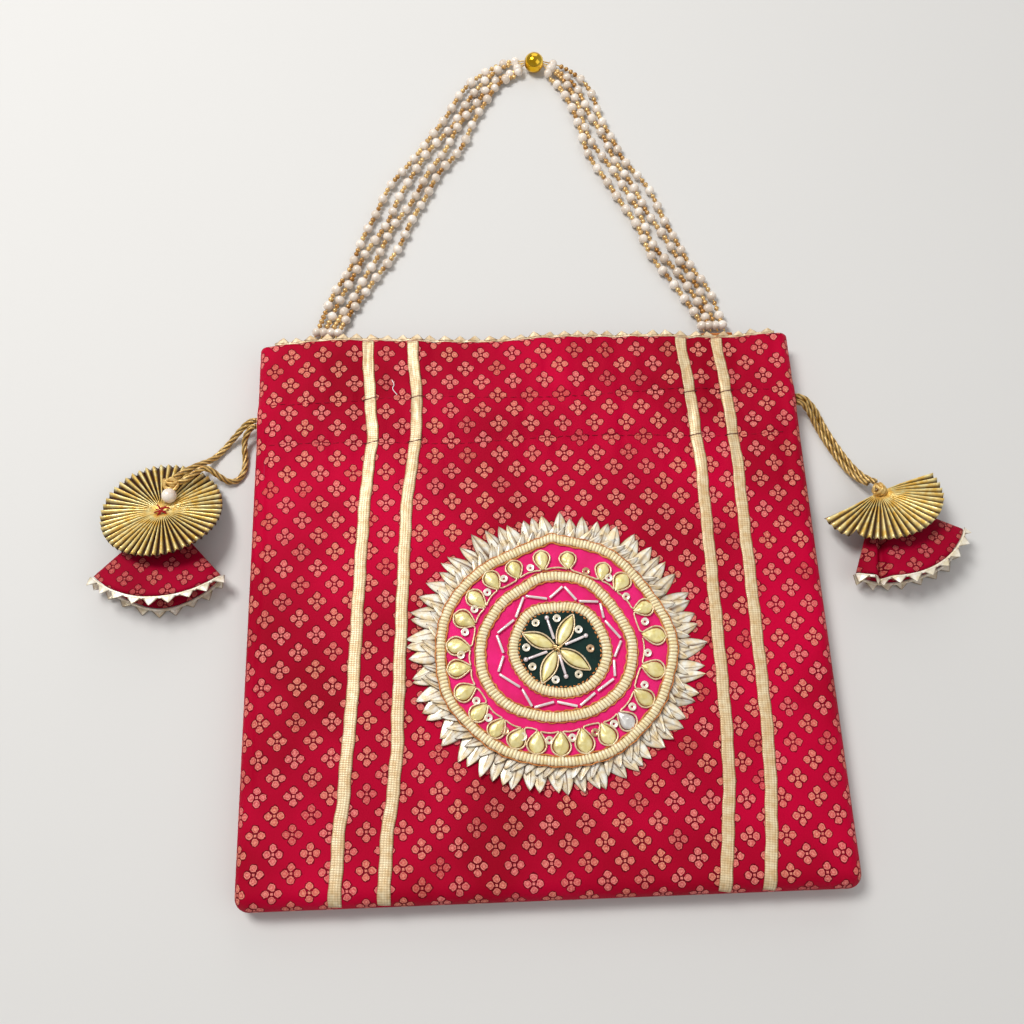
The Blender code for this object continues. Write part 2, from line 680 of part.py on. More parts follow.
def gold_bead():
    """A round hollow bead turned about its bore, which lies across the handle's top."""
    left, right, base = hinge_line()
    points, _ = handle_path()
    radius = GOLD_BEAD_DIAMETER / 2
    bore = GOLD_BEAD_BORE / 2
    start = math.asin(bore / radius)
    bm = bmesh.new()
    arc = [start + (math.pi - 2 * start) * i / 6 for i in range(7)]
    verts = [bm.verts.new((radius * math.sin(a), 0.0, radius * math.cos(a))) for a in arc]
    for i, vert in enumerate(verts):
        bm.edges.new((vert, verts[(i + 1) % len(verts)]))
    item = mesh_object("gold_bead", bm, material("bright_gold", (0.80, 0.50, 0.06), 0.2, 1.0), 40)
    turn = item.modifiers.new("turn", "SCREW")
    turn.steps = 14
    turn.render_steps = 14
    turn.use_merge_vertices = True
    turn.merge_threshold = 0.00001
    x = left + BEAD_SHARE * (right - left)
    y = float(np.interp(x, points[:, 0], points[:, 1]))
    item.location = (x, y, radius + STRAND_REST_Z / 10)
    item.rotation_euler = (0.0, math.radians(90), 0.0)


def handle_anchors():
    """Bound thread tabs sewn to the lining's back, which the strands leave from."""
    left, right, base = hinge_line()
    width = (STRANDS - 1) * STRAND_SPACING + SEED_DIAMETER
    lining_face = MID_Z - (EDGE_RADIUS - CLOTH - SEAM_GAP - LINING_EASE) + LINING_CLOTH
    low = lining_face + SEAT_GAP
    for name, x in (("handle_anchor_left", left), ("handle_anchor_right", right)):
        bm = bmesh.new()
        bmesh.ops.create_cube(bm, size=1.0, matrix=Matrix.Diagonal((width, ANCHOR_LENGTH, ANCHOR_HEIGHT, 1.0)))
        item = mesh_object(name, bm, material("bound_thread", (0.55, 0.32, 0.12), 0.7))
        end = base - SEAT_GAP - THREAD_DIAMETER / 2
        item.location = (x, end - ANCHOR_LENGTH / 2, low + ANCHOR_HEIGHT / 2)
        soften = item.modifiers.new("soften", "BEVEL")
        soften.width = ANCHOR_HEIGHT / 4
        soften.segments = 1


def exit_point(side):
    y = LEFT_CORD_Y if side < 0 else RIGHT_CORD_Y
    return side * (HALF_WIDTH + EXIT_PROUD), y


def drawstring_loop(name, side):
    """The hidden part of a drawstring: out of one slit, round the casing and back."""
    x_out, y = exit_point(side)
    half_pitch = CORD_PITCH / 2
    straight = side * (HALF_WIDTH - STRAIGHT_INSET)
    run_end = side * (HALF_WIDTH - RUN_END_INSET)
    turn_x = -side * (HALF_WIDTH - TURN_INSET)
    route = [(x_out, y + half_pitch, MID_Z), (straight, y + half_pitch, MID_Z),
             (run_end, y + half_pitch, MID_Z + RUN_LIFT)]
    for i in range(7):
        angle = math.pi * i / 6
        route.append((turn_x - side * RUN_LIFT * math.sin(angle), y + half_pitch * math.cos(angle),
                      MID_Z + RUN_LIFT * math.cos(angle)))
    route += [(run_end, y - half_pitch, MID_Z - RUN_LIFT), (straight, y - half_pitch, MID_Z),
              (x_out, y - half_pitch, MID_Z)]
    tube(name, route, [1.0] * len(route), CORD_RADIUS, twisted_zari())


def free_strand(name, side, offsets):
    """A strand from the slit to its knot, laid down on the surface."""
    x_out, y = exit_point(side)
    start = x_out + side * CORD_CLEAR
    keys = [(start + dx, y + dy, z) for dx, dy, z in offsets]
    straight = (start + side * CORD_RADIUS, *keys[0][1:])
    route = [keys[0], *smooth_route([straight, *keys[1:]], 2.2 * CORD_DIAMETER)]
    tube(name, route, [1.0] * len(route), CORD_RADIUS, twisted_zari())


def ball(name, side, offset, diameter, finish):
    x_out, y = exit_point(side)
    bm = bmesh.new()
    bmesh.ops.create_icosphere(bm, subdivisions=2, radius=diameter / 2)
    item = mesh_object(name, bm, finish, 60)
    item.location = (x_out + offset[0], y + offset[1], offset[2])


def tassel_frame(side):
    """Place of a tassel: its apex on the surface and the way its cone points."""
    x_out, y = exit_point(side)
    dx, dy = LEFT_TASSEL if side < 0 else RIGHT_TASSEL
    heading = LEFT_HEADING if side < 0 else RIGHT_HEADING
    return (x_out + dx, y + dy), math.radians(heading)


def cone_slope():
    low = APEX_Z + APEX_HALF_HEIGHT
    high = HEM_FLOOR_GAP + 2 * HEM_HALF_HEIGHT
    return (high - low) / (CONE_SLANT - CONE_APEX)


def pleated(name, side, start, end, pleats):
    """Accordion pleats from one stitched point: a whole rosette or a folded half."""
    (x, y), heading = tassel_frame(side)
    slope = cone_slope()
    centre_z = APEX_Z + APEX_HALF_HEIGHT - slope * CONE_APEX + SEAT_GAP + PLEAT_DEPTH / 2 + PLEAT_THICKNESS
    whole = end - start > 359
    count = 2 * pleats if whole else 2 * pleats + 1
    bm = bmesh.new()
    centre = bm.verts.new((0.0, 0.0, 0.0))
    rim = []
    for i in range(count):
        angle = math.radians(start + (end - start) * i / (2 * pleats))
        wave = PLEAT_DEPTH / 2 * (1 if i % 2 else -1)
        rim.append(bm.verts.new((ROSETTE_RADIUS * math.cos(angle), ROSETTE_RADIUS * math.sin(angle), wave)))
    for i in range(count if whole else count - 1):
        bm.faces.new((centre, rim[i], rim[(i + 1) % count]))
    item = mesh_object(name, bm, gold_foil())
    thicken(item, PLEAT_THICKNESS, -1)
    item.location = (x, y, centre_z)
    item.rotation_euler = (0.0, -math.atan(slope), heading)


def cone_ring(radius, half_height, middle_z, place, heading, count, radii=None):
    """A ring round a flattened cone, at one distance from its apex."""
    ring = []
    half = math.radians(CONE_HALF_ANGLE)
    for i in range(count):
        turn = 2 * math.pi * i / count
        angle = heading - half * math.cos(turn)
        reach = radii[i] if radii else radius
        ring.append((place[0] + reach * math.cos(angle), place[1] + reach * math.sin(angle),
                     middle_z + half_height * math.sin(turn)))
    return ring


def cone(name, side):
    """Stiffened cloth cone, sewn from a half circle and pressed nearly flat."""
    place, heading = tassel_frame(side)
    hem_z = HEM_FLOOR_GAP + HEM_HALF_HEIGHT
    sections = []
    for share in (0.0, 0.3, 0.65, 1.0):
        radius = CONE_APEX + share * (CONE_SLANT - CONE_APEX)
        half_height = APEX_HALF_HEIGHT + share * (HEM_HALF_HEIGHT - APEX_HALF_HEIGHT)
        middle = APEX_Z + share * (hem_z - APEX_Z)
        sections.append(cone_ring(radius, half_height, middle, place, heading, 12))
    item = mesh_object(name, loft(sections, ring=True, cap_start=True), crimson_brocade(), 50)
    return thicken(item, CONE_CLOTH, -1)


def cone_trim(name, side):
    """The zigzag trim round a cone's hem."""
    place, heading = tassel_frame(side)
    hem_z = HEM_FLOOR_GAP + HEM_HALF_HEIGHT
    half_height = HEM_HALF_HEIGHT - CONE_CLOTH / 2
    teeth = round(4 * CONE_SLANT * math.radians(CONE_HALF_ANGLE) / TOOTH_PITCH)
    low = [CONE_SLANT + SEAT_GAP + CONE_CLOTH / 2] * (2 * teeth)
    high = [radius + TRIM_BAND + (TOOTH_HEIGHT if i % 2 else 0.0) for i, radius in enumerate(low)]
    rings = [cone_ring(0.0, half_height, hem_z, place, heading, 2 * teeth, radii) for radii in (low, high)]
    thicken(mesh_object(name, loft(rings, ring=True), pale_gota()), TRIM_THICKNESS, 0)


def drawstrings():
    zari = twisted_zari()
    drawstring_loop("drawstring_left_loop", -1)
    free_strand("drawstring_left_strand_a", -1, LEFT_ROUTE_A)
    free_strand("drawstring_left_strand_b", -1, LEFT_ROUTE_B)
    ball("knot_left", -1, LEFT_KNOT, KNOT_DIAMETER, zari)
    ball("tassel_pearl_left", -1, LEFT_PEARL, TASSEL_PEARL_DIAMETER, pearl_white())
    pleated("rosette_left", -1, 0.0, 360.0, ROSETTE_PLEATS)
    cone("tassel_cone_left", -1)
    cone_trim("cone_trim_left", -1)
    drawstring_loop("drawstring_right_loop", 1)
    free_strand("drawstring_right_strand_a", 1, RIGHT_ROUTE_A)
    free_strand("drawstring_right_strand_b", 1, RIGHT_ROUTE_B)
    ball("knot_right", 1, RIGHT_KNOT, KNOT_DIAMETER, zari)
    pleated("fan_right", 1, -90.0, 90.0, ROSETTE_PLEATS // 2)
    cone("tassel_cone_right", 1)
    cone_trim("cone_trim_right", 1)


def main():
    _, cutters = clear_scene()
    cut_slits((front_panel(), back_panel()), cutters)
    lining()
    mouth_trims()
    ribbons()
    patch()
    handle_anchors()
    bead_strands()
    gold_bead()
    drawstrings()


main()
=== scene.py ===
"""Potli bag: the dressed model, laid out as a Blender add-on and run as a script."""

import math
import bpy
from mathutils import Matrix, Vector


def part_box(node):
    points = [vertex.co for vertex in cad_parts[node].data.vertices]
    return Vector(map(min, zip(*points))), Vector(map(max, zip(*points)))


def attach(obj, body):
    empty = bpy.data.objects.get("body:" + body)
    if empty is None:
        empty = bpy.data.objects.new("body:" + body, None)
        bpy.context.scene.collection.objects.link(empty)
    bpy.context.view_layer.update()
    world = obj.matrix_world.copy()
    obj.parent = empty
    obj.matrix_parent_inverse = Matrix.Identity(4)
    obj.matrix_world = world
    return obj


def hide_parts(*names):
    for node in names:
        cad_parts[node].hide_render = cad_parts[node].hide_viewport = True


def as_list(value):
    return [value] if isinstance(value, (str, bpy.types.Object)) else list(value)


bl_info = {
    "name": "Potli bag",
    "version": (1, 0, 0),
    "blender": (4, 5, 0),
    "location": "3D view > Sidebar > Potli",
    "description": "Builds a crimson drawstring pouch with its patch, beads and tassels",
    "category": "Object",
}

import bmesh
import bpy
import numpy as np
from bpy.props import FloatProperty, FloatVectorProperty, IntProperty, PointerProperty
from mathutils import Matrix, Vector

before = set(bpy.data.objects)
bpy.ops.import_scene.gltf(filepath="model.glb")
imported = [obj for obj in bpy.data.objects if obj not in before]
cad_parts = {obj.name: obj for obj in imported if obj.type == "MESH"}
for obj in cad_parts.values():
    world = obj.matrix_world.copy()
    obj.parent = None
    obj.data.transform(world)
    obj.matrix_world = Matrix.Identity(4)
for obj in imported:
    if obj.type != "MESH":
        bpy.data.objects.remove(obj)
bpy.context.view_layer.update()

MM = 0.001

# The bag's body, as the frame has it
HALF_WIDTH = 0.108
MOUTH_Y = 0.1065
BOTTOM_Y = -0.1065
EDGE_RADIUS = 0.0065
MID_Z = 0.0065
BOTTOM_CORNER = 0.005
SEAM = 0.00015
CLOTH = 0.0008
CASING_LOW = 0.0630
CASING_HIGH = 0.0815
EXIT_Y = {"left": 0.0750, "right": 0.0805}
EXIT_X = 0.1088
CORD = 0.0022

# The patch: its middle, and the heights of its layers
PATCH = (0.0055, -0.0210)
TOP = 0.0157
SILK_Z = 0.0154
VELVET_Z = 0.0161
PETAL_Z = 0.0164
VELVET_REACH = 20
LEAF_Z = 0.0135
FOLD_Z = 0.0143
COUCHED = {"radius": 0.00034, "sides": 8, "lobes": 2, "pitch": 0.0016, "depth": 0.25}
# Radii in mm of the hand-laid lines of the patch, evenly spaced round it from +X
PATCH_LINES = {
    "outer": (42.3, 41.2, 39.9, 40.3, 41.2, 40.9, 41.0, 39.4, 39.2, 40.3, 41.4, 42.2,
              42.1, 42.6, 42.3, 41.2, 40.9, 40.0, 40.0, 40.6, 40.9, 40.6, 41.2, 41.4),
    "middle": (27.4, 26.6, 25.8, 26.2, 27.2, 27.4, 27.2, 26.6, 25.5, 26.0, 26.3, 27.2,
               27.8, 28.3, 28.0, 27.2, 25.8, 25.0, 24.6, 24.8, 25.5, 26.3, 27.2, 27.4),
    "inner": (17.9, 17.3, 17.0, 15.3, 16.2, 15.6, 15.8, 15.4, 15.7, 15.9, 17.1, 17.9),
    "tips": (55.0, 53.8, 53.5, 53.2, 52.6, 51.9, 52.6, 51.4, 53.2, 53.5, 54.0, 54.8,
             53.8, 53.9, 53.3, 53.7, 52.9, 52.0, 50.8, 51.6, 51.2, 52.0, 52.8, 54.2),
}
# Foil drops: angle of the round end, angle of the point, radius of the point, radius of the round end
FOIL_DROPS = (
    (4.7, 8.1, 31.3, 40.0), (22.6, 24.6, 31.5, 39.0), (44.7, 42.6, 30.6, 38.4), (58.3, 55.3, 30.3, 37.0),
    (81.3, 78.7, 30.1, 36.6), (96.6, 97.1, 29.6, 37.2), (114.9, 116.0, 29.4, 36.6),
    (130.2, 131.9, 30.4, 38.2), (145.3, 148.0, 29.9, 38.4), (159.9, 161.9, 30.8, 39.2),
    (176.2, 178.2, 31.1, 39.9), (189.5, 190.6, 31.6, 40.2), (203.6, 203.4, 32.3, 40.4),
    (217.8, 216.5, 32.0, 39.8), (230.9, 230.8, 31.6, 39.4), (243.0, 244.4, 31.0, 38.8),
    (255.6, 254.7, 30.2, 38.2), (269.3, 269.7, 29.4, 38.0), (283.0, 284.0, 29.4, 38.4),
    (297.1, 297.8, 30.6, 38.9), (311.4, 311.1, 31.2, 39.0), (327.4, 329.8, 31.0, 39.2),
    (345.5, 346.9, 30.9, 39.5))
SILVER_DROP = 20
# Each is an angle in degrees and a radius in mm
OUTER_SEQUINS = (
    (15.2, 33.9), (35.0, 32.3), (51.5, 33.0), (105.4, 31.6), (124.6, 32.3), (138.7, 32.8), (152.5, 33.3),
    (168.1, 33.9), (182.2, 34.8), (211.2, 34.7), (223.3, 35.1), (246.3, 33.9), (262.3, 32.9), (276.6, 32.2),
    (304.1, 33.4), (319.6, 33.7), (335.1, 33.8), (355.4, 32.9))
GOLD_SEQUINS = ((66.9, 31.1), (235.4, 35.0), (291.3, 32.6), (357.6, 12.0))
INNER_SEQUINS = (
    (38.9, 10.5), (87.8, 11.0), (127.7, 12.0), (177.2, 11.2), (215.1, 11.3), (264.3, 11.5), (306.5, 12.1))
STAR = (
    (81.4, 23.6), (96.8, 18.6), (119.4, 22.8), (142.5, 18.6), (164.8, 22.6), (184.9, 19.4), (201.2, 23.3),
    (226.0, 19.4), (245.3, 23.2), (265.4, 19.2), (287.7, 22.2), (309.3, 20.9), (330.7, 23.2), (348.1, 20.8),
    (6.2, 23.8), (29.8, 20.4), (45.3, 23.6), (64.2, 19.2))
FLOWER = ((62.3, 13.6), (154.8, 13.2), (244.5, 13.6), (325.0, 13.9))
SPOKES = ((21.6, 11.4), (106.1, 11.7), (198.5, 12.1), (284.4, 10.7))

# Middles of the ribbons in mm, from the mouth down
RIBBONS = {
    "ribbon_outer_left": ((-64, 101.5), (-63, 81), (-62, 66), (-63, 56), (-65, 34), (-68.5, -37),
                          (-70, -55), (-71, -71), (-72.3, -82), (-73.5, -105.6)),
    "ribbon_inner_left": ((-46, 100), (-44.6, 81), (-45, 68), (-46.3, 55), (-49, 33), (-52, -37),
                          (-52.5, -55), (-54.2, -72), (-56, -85), (-57, -106)),
    "ribbon_inner_right": ((62.4, 100), (64.2, 80), (64.7, 65), (65.5, 52), (65.5, 29), (65, -41),
                           (63.8, -69), (61.8, -85), (59, -104.6)),
    "ribbon_outer_right": ((77.3, 101.6), (78.6, 83), (79.3, 67), (80, 52), (79.8, 29), (79.6, -42),
                           (78.4, -70), (76.8, -86), (74.4, -105)),
}
RIBBON_WIDTH = 0.0045

# The handle's line: share of the way across, and height over the hinge
HANDLE_ROUTE = ((0.000, 0.000), (0.040, 0.0150), (0.103, 0.0354), (0.174, 0.0586), (0.250, 0.0830),
                (0.318, 0.1000), (0.385, 0.1190), (0.434, 0.1310), (0.492, 0.1385), (0.571, 0.1410),
                (0.632, 0.1375), (0.673, 0.1300), (0.698, 0.1205), (0.716, 0.1090), (0.760, 0.0900),
                (0.824, 0.0693), (0.882, 0.0448), (0.930, 0.0303), (0.972, 0.0163), (1.000, 0.000))
HANDLE_ENDS = (-0.0833, 0.0798)
HINGE_Y = 0.1139
HINGE_Z = 0.0031
REST_Z = 0.0023
GOLD_BEAD_SHARE = 0.571
GOLD_BEAD_RADIUS = 0.0045

# Each strand: its side, and its points from the seam slit to the knot
CORD_ROUTES = {
    "drawstring_left_strand_a": (
        -1, ((0.0, 0.0013, 0.0065), (-0.0037, 0.0002, 0.0059), (-0.0077, -0.0030, 0.0036),
             (-0.0117, -0.0070, 0.0017), (-0.0157, -0.0114, 0.0014), (-0.0184, -0.0142, 0.0029),
             (-0.0208, -0.0164, 0.0054), (-0.0234, -0.0184, 0.0071), (-0.0262, -0.0206, 0.0083),
             (-0.0295, -0.0234, 0.0092))),
    "drawstring_left_strand_b": (
        -1, ((0.0, -0.0013, 0.0065), (-0.0026, -0.0026, 0.0061), (-0.0045, -0.0056, 0.0043),
             (-0.0049, -0.0096, 0.0024), (-0.0046, -0.0138, 0.0014), (-0.0050, -0.0182, 0.0012),
             (-0.0072, -0.0218, 0.0012), (-0.0106, -0.0228, 0.0024), (-0.0138, -0.0214, 0.0050),
             (-0.0164, -0.0198, 0.0072), (-0.0190, -0.0192, 0.0079), (-0.0216, -0.0208, 0.0083),
             (-0.0248, -0.0238, 0.0089), (-0.0280, -0.0256, 0.0093))),
    "drawstring_right_strand_a": (
        1, ((0.0, 0.0013, 0.0065), (0.0042, 0.0003, 0.0058), (0.0080, -0.0033, 0.0038),
            (0.0107, -0.0081, 0.0020), (0.0131, -0.0133, 0.0014), (0.0157, -0.0187, 0.0013),
            (0.0185, -0.0241, 0.0014), (0.0213, -0.0293, 0.0024), (0.0239, -0.0337, 0.0046),
            (0.0273, -0.0371, 0.0072))),
    "drawstring_right_strand_b": (
        1, ((0.0, -0.0013, 0.0065), (0.0032, -0.0021, 0.0058), (0.0060, -0.0051, 0.0038),
            (0.0084, -0.0095, 0.0020), (0.0108, -0.0146, 0.0014), (0.0134, -0.0200, 0.0013),
            (0.0162, -0.0254, 0.0014), (0.0190, -0.0305, 0.0024), (0.0216, -0.0347, 0.0046),
            (0.0240, -0.0375, 0.0072))),
}

# The tassels: where they hang, which way in degrees, and the sizes of their cones
TASSELS = {"left": (-0.1421, 0.0383), "right": (0.1357, 0.0385)}
HEADINGS = {"left": -91.0, "right": -69.5}
KNOTS = {"left": (-0.1395, 0.0488, 0.0098), "right": (0.1353, 0.0388, 0.0106)}
KNOT_RADIUS = 0.0034
TASSEL_PEARL = (-0.1395, 0.0437, 0.0108)
CONE_SLANT = 0.0345
CONE_APEX = 0.0030
CONE_HALF_ANGLE = 43.0
APEX_Z = 0.0055
APEX_HALF_HEIGHT = 0.0012
HEM_HALF_HEIGHT = 0.0070
HEM_Z = 0.0072
ROSETTE_Z = 0.0098
TILT = 0.40
# Where the lower layer of a cone hangs out, in degrees round its hem, and by what share
CONE_FALLS = {"left": (270, 0.045), "right": (236, 0.065)}
# The upper layer: phase of its waves, then its fold's place in degrees, width, depth and sharpness
CONE_FOLDS = {"left": (0.5, 75, 0.2, 0.10, 1.0), "right": (2.2, 50, 0.09, 1.1, 0.4)}

# The camera: the photograph's viewpoint, from a fit to the bag's straight edges
CAMERA_TURN = (-19.24, 2.22, 1.47)
CAMERA_SHIFT = (9.6, -35.0, -392.9)
LENS_MM = 36.04

# The lamps: name, place, width in metres, power in watts
LAMPS = (("key", (-0.5, 0.42, 1.05), 0.42, 11.5), ("fill", (0.9, -0.4, 0.9), 1.0, 2.4),
         ("rim", (0.1, 1.1, 0.6), 0.8, 2.0))
WORLD_COLOUR = "#F4F4F6"
WORLD_STRENGTH = 0.40

# The brocade: spacing of its butis, place and squareness of a petal in mm, and pitch of its threads
BUTI_PITCH = 0.0126
PETAL_OUT = 2.12
PETAL_POWER = 1.65
WEFT_PITCH = 0.00035
WARP_PITCH = 0.00042


# ---- small helpers

def linear(code):
    """sRGB hex to the linear values that a shader takes."""
    channels = [int(code[i:i + 2], 16) / 255 for i in (1, 3, 5)]
    return [c / 12.92 if c <= 0.04045 else ((c + 0.055) / 1.055) ** 2.4 for c in channels] + [1.0]


class Recipe:
    """A material while its nodes are laid out. Its constants sit on the shader's own sockets."""

    def __init__(self, name, **sockets):
        self.made = bpy.data.materials.new(name)
        self.made.use_nodes = True
        self.tree = self.made.node_tree
        self.shader = self.tree.nodes["Principled BSDF"]
        for label, value in sockets.items():
            socket = self.shader.inputs[label.replace("_", " ")]
            socket.default_value = linear(value) if isinstance(value, str) else value

    def add(self, kind, *inputs, **settings):
        """One node. An input is a value, a colour code, a socket, or a node whose first output is used."""
        node = self.tree.nodes.new("ShaderNode" + kind)
        for name, value in settings.items():
            setattr(node, name, value)
        for socket, value in zip(node.inputs, inputs):
            if isinstance(value, bpy.types.Node):
                value = value.outputs[0]
            if isinstance(value, bpy.types.NodeSocket):
                self.tree.links.new(value, socket)
            elif isinstance(value, str):
                socket.default_value = linear(value)
            elif value is not None:
                socket.default_value = value
        return node

    def maths(self, operation, *inputs, **settings):
        return self.add("Math", *inputs, operation=operation, **settings)

    def ramp(self, value, *levels, **settings):
        """Carries a value from one range to another: from low, from high, to low, to high."""
        return self.add("MapRange", value, *levels, **settings)

    def soft_step(self, value, *levels):
        return self.ramp(value, *levels, interpolation_type="SMOOTHSTEP")

    def blend(self, share, low, high, **settings):
        return self.add("MixRGB", share, low, high, **settings)

    def noise(self, place, scale, detail):
        return self.add("TexNoise", place, None, scale, detail)

    def patches(self, place, scale, detail, low=0.35, high=0.65, start=0.0, end=1.0):
        """Noise with its middle range spread out into soft patches."""
        return self.ramp(self.noise(place, scale, detail), low, high, start, end)

    def wave(self, value, pitch):
        return self.maths("SINE", self.maths("MULTIPLY", value, 2 * math.pi / pitch))

    def dress(self, colour, height=None, strength=0.0, distance=0.0):
        """Gives the shader its colour and its fine relief."""
        self.tree.links.new(colour.outputs[0], self.shader.inputs["Base Color"])
        if height:
            relief = self.add("Bump", strength, distance)
            self.tree.links.new(height.outputs[0], relief.inputs["Height"])
            self.tree.links.new(relief.outputs[0], self.shader.inputs["Normal"])
        return self.made


def full_turn(count):
    """Angles all the way round, without the last one that would repeat the first."""
    return np.linspace(0, 2 * math.pi, count, endpoint=False)


def unit(vectors):
    """The same directions with length one."""
    return vectors / np.linalg.norm(vectors, axis=-1, keepdims=True)


def distances(path):
    """How far along a path each of its points lies."""
    return np.concatenate(([0.0], np.cumsum(np.linalg.norm(np.diff(path, axis=0), axis=1))))


def sheets(name, grids, finish, wrap=(False, False), thickness=0.0, offset=-1.0, **marks):
    """One object from grids of points, with quads between neighbours in each grid."""
    verts, faces, start = [], [], 0
    for grid in grids:
        grid = np.asarray(grid, dtype=float)
        rows, cols = grid.shape[:2]
        index = np.arange(rows * cols).reshape(rows, cols) + start
        if wrap[0]:
            index = np.vstack([index, index[:1]])
        if wrap[1]:
            index = np.hstack([index, index[:, :1]])
        quads = np.stack([index[:-1, :-1], index[:-1, 1:], index[1:, 1:], index[1:, :-1]], axis=-1)
        verts.append(grid.reshape(-1, 3))
        faces.append(quads.reshape(-1, 4))
        start += rows * cols
    mesh = bpy.data.meshes.new(name)
    mesh.from_pydata(np.concatenate(verts).tolist(), [], np.concatenate(faces).tolist())
    for label, values in marks.items():
        values = np.asarray(values, dtype=float)
        kind = "FLOAT_VECTOR" if values.ndim > 1 and values.shape[-1] == 3 else "FLOAT"
        layer = mesh.attributes.new(label, kind, "POINT")
        layer.data.foreach_set("vector" if kind == "FLOAT_VECTOR" else "value", values.ravel())
    bm = bmesh.new()
    bm.from_mesh(mesh)
    bmesh.ops.remove_doubles(bm, verts=bm.verts, dist=2e-7)
    bmesh.ops.dissolve_degenerate(bm, edges=bm.edges, dist=1e-7)
    if wrap[0] or wrap[1]:
        bmesh.ops.recalc_face_normals(bm, faces=bm.faces)
    elif sum(face.normal.z * face.calc_area() for face in bm.faces) < 0:
        bmesh.ops.reverse_faces(bm, faces=bm.faces)
    bm.to_mesh(mesh)
    bm.free()
    mesh.shade_smooth()
    mesh.materials.append(finish)
    piece = bpy.data.objects.new(name, mesh)
    bpy.context.scene.collection.objects.link(piece)
    if thickness:
        shell = piece.modifiers.new("cloth", "SOLIDIFY")
        shell.thickness = thickness
        shell.offset = offset
    return piece


def carry(piece, body, slot, *nodes):
    """The piece rides on a body and stands for the frame's nodes, which it hides. The slot is not used."""
    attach(piece, body)
    if nodes:
        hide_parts(*nodes)
    return piece


def smooth_line(points, spacing):
    """Evenly spaced points on a Catmull-Rom curve through the given ones."""
    keys = np.asarray(points, dtype=float)
    keys = np.vstack([2 * keys[0] - keys[1], keys, 2 * keys[-1] - keys[-2]])
    t = np.linspace(0, 1, 24, endpoint=False)[:, None]
    runs = []
    for a, b, c, d in zip(keys, keys[1:], keys[2:], keys[3:]):
        runs.append(0.5 * (2 * b + (c - a) * t + (2 * a - 5 * b + 4 * c - d) * t ** 2
                           + (3 * b - a - 3 * c + d) * t ** 3))
    path = np.vstack(runs + [keys[-2:-1]])
    along = distances(path)
    stations = np.linspace(0.0, along[-1], max(2, round(along[-1] / spacing) + 1))
    return np.stack([np.interp(stations, along, path[:, k]) for k in range(path.shape[1])], axis=-1)


def frames_along(path):
    """A tangent and two steady side vectors at each point of a path."""
    tangent = unit(np.gradient(path, axis=0))
    side = np.zeros_like(path)
    up = np.array([0.0, 0.0, 1.0]) if abs(tangent[0][2]) < 0.9 else np.array([1.0, 0.0, 0.0])
    current = np.cross(up, tangent[0])
    for i, t in enumerate(tangent):
        current = current - t * np.dot(current, t)
        current /= np.linalg.norm(current)
        side[i] = current
    return tangent, side, np.cross(tangent, side)


def tube_grid(path, radius, sides=10, lobes=0, pitch=0.003, depth=0.25, ends=True):
    """A closed tube round a path. With lobes it has the twisted plies of a cord."""
    path = np.asarray(path, dtype=float)
    _, side, over = frames_along(path)
    along = distances(path)
    angle = full_turn(sides)[None, :]
    reach = np.full((len(path), sides), radius, dtype=float)
    if lobes:
        twist = 2 * math.pi * along[:, None] / pitch
        reach = reach * (1 - depth + depth * np.abs(np.cos(lobes * (angle - twist / lobes) / 2)))
    ring = (path[:, None, :] + side[:, None, :] * (reach * np.cos(angle))[..., None]
            + over[:, None, :] * (reach * np.sin(angle))[..., None])
    if ends:
        ring = np.concatenate([np.repeat(path[None, :1], sides, axis=1), ring,
                               np.repeat(path[None, -1:], sides, axis=1)])
    return ring


def turned_grid(profile, centre, axis=(0, 0, 1), segments=16):
    """A turned shape: (radius, height) pairs about an axis through the centre."""
    spin = Vector((0, 0, 1)).rotation_difference(Vector(axis)).to_matrix()
    angle = full_turn(segments)
    profile = np.asarray(profile, dtype=float)
    points = np.stack([profile[:, :1] * np.cos(angle), profile[:, :1] * np.sin(angle),
                       np.repeat(profile[:, 1:], segments, axis=1)], axis=-1)
    return points @ np.array(spin).T + np.asarray(centre, dtype=float)


def ball_grid(centre, radius, axis=(0, 0, 1), bore=0.0, rings=8, segments=14, squash=1.0):
    """A bead, with its bore along the axis if it has one."""
    first = math.asin(min(1.0, bore / radius)) if bore else 0.0
    arc = np.linspace(first, math.pi - first, rings)
    profile = np.stack([radius * np.sin(arc), squash * radius * np.cos(arc)], axis=-1)
    return turned_grid(profile, centre, axis, segments)


def noise_2d(x, y, scale, seed, octaves=2):
    """A smooth repeatable wander of height, from summed waves."""
    rng = np.random.default_rng(seed)
    total = np.zeros(np.broadcast(x, y).shape)
    for octave in range(octaves):
        for _ in range(7):
            angle = rng.uniform(0, 2 * math.pi)
            wave = 2 * math.pi / (scale / 2 ** octave * rng.uniform(0.7, 1.4))
            run = x * math.cos(angle) + y * math.sin(angle)
            total += np.sin(wave * run + rng.uniform(0, 6.3)) / 2 ** octave
    return total / 4.5


# ---- the cloth's shape

def outline_half(y):
    depth = np.clip(BOTTOM_Y + BOTTOM_CORNER - y, 0, BOTTOM_CORNER)
    return HALF_WIDTH - BOTTOM_CORNER + np.sqrt(np.maximum(0.0, BOTTOM_CORNER ** 2 - depth ** 2))


def rise(distance):
    reach = np.clip(distance, 0, EDGE_RADIUS)
    return np.sqrt(np.maximum(0.0, 1 - (1 - reach / EDGE_RADIUS) ** 2))


def bump(value, centre, width):
    return np.exp(-((value - centre) / width) ** 2)


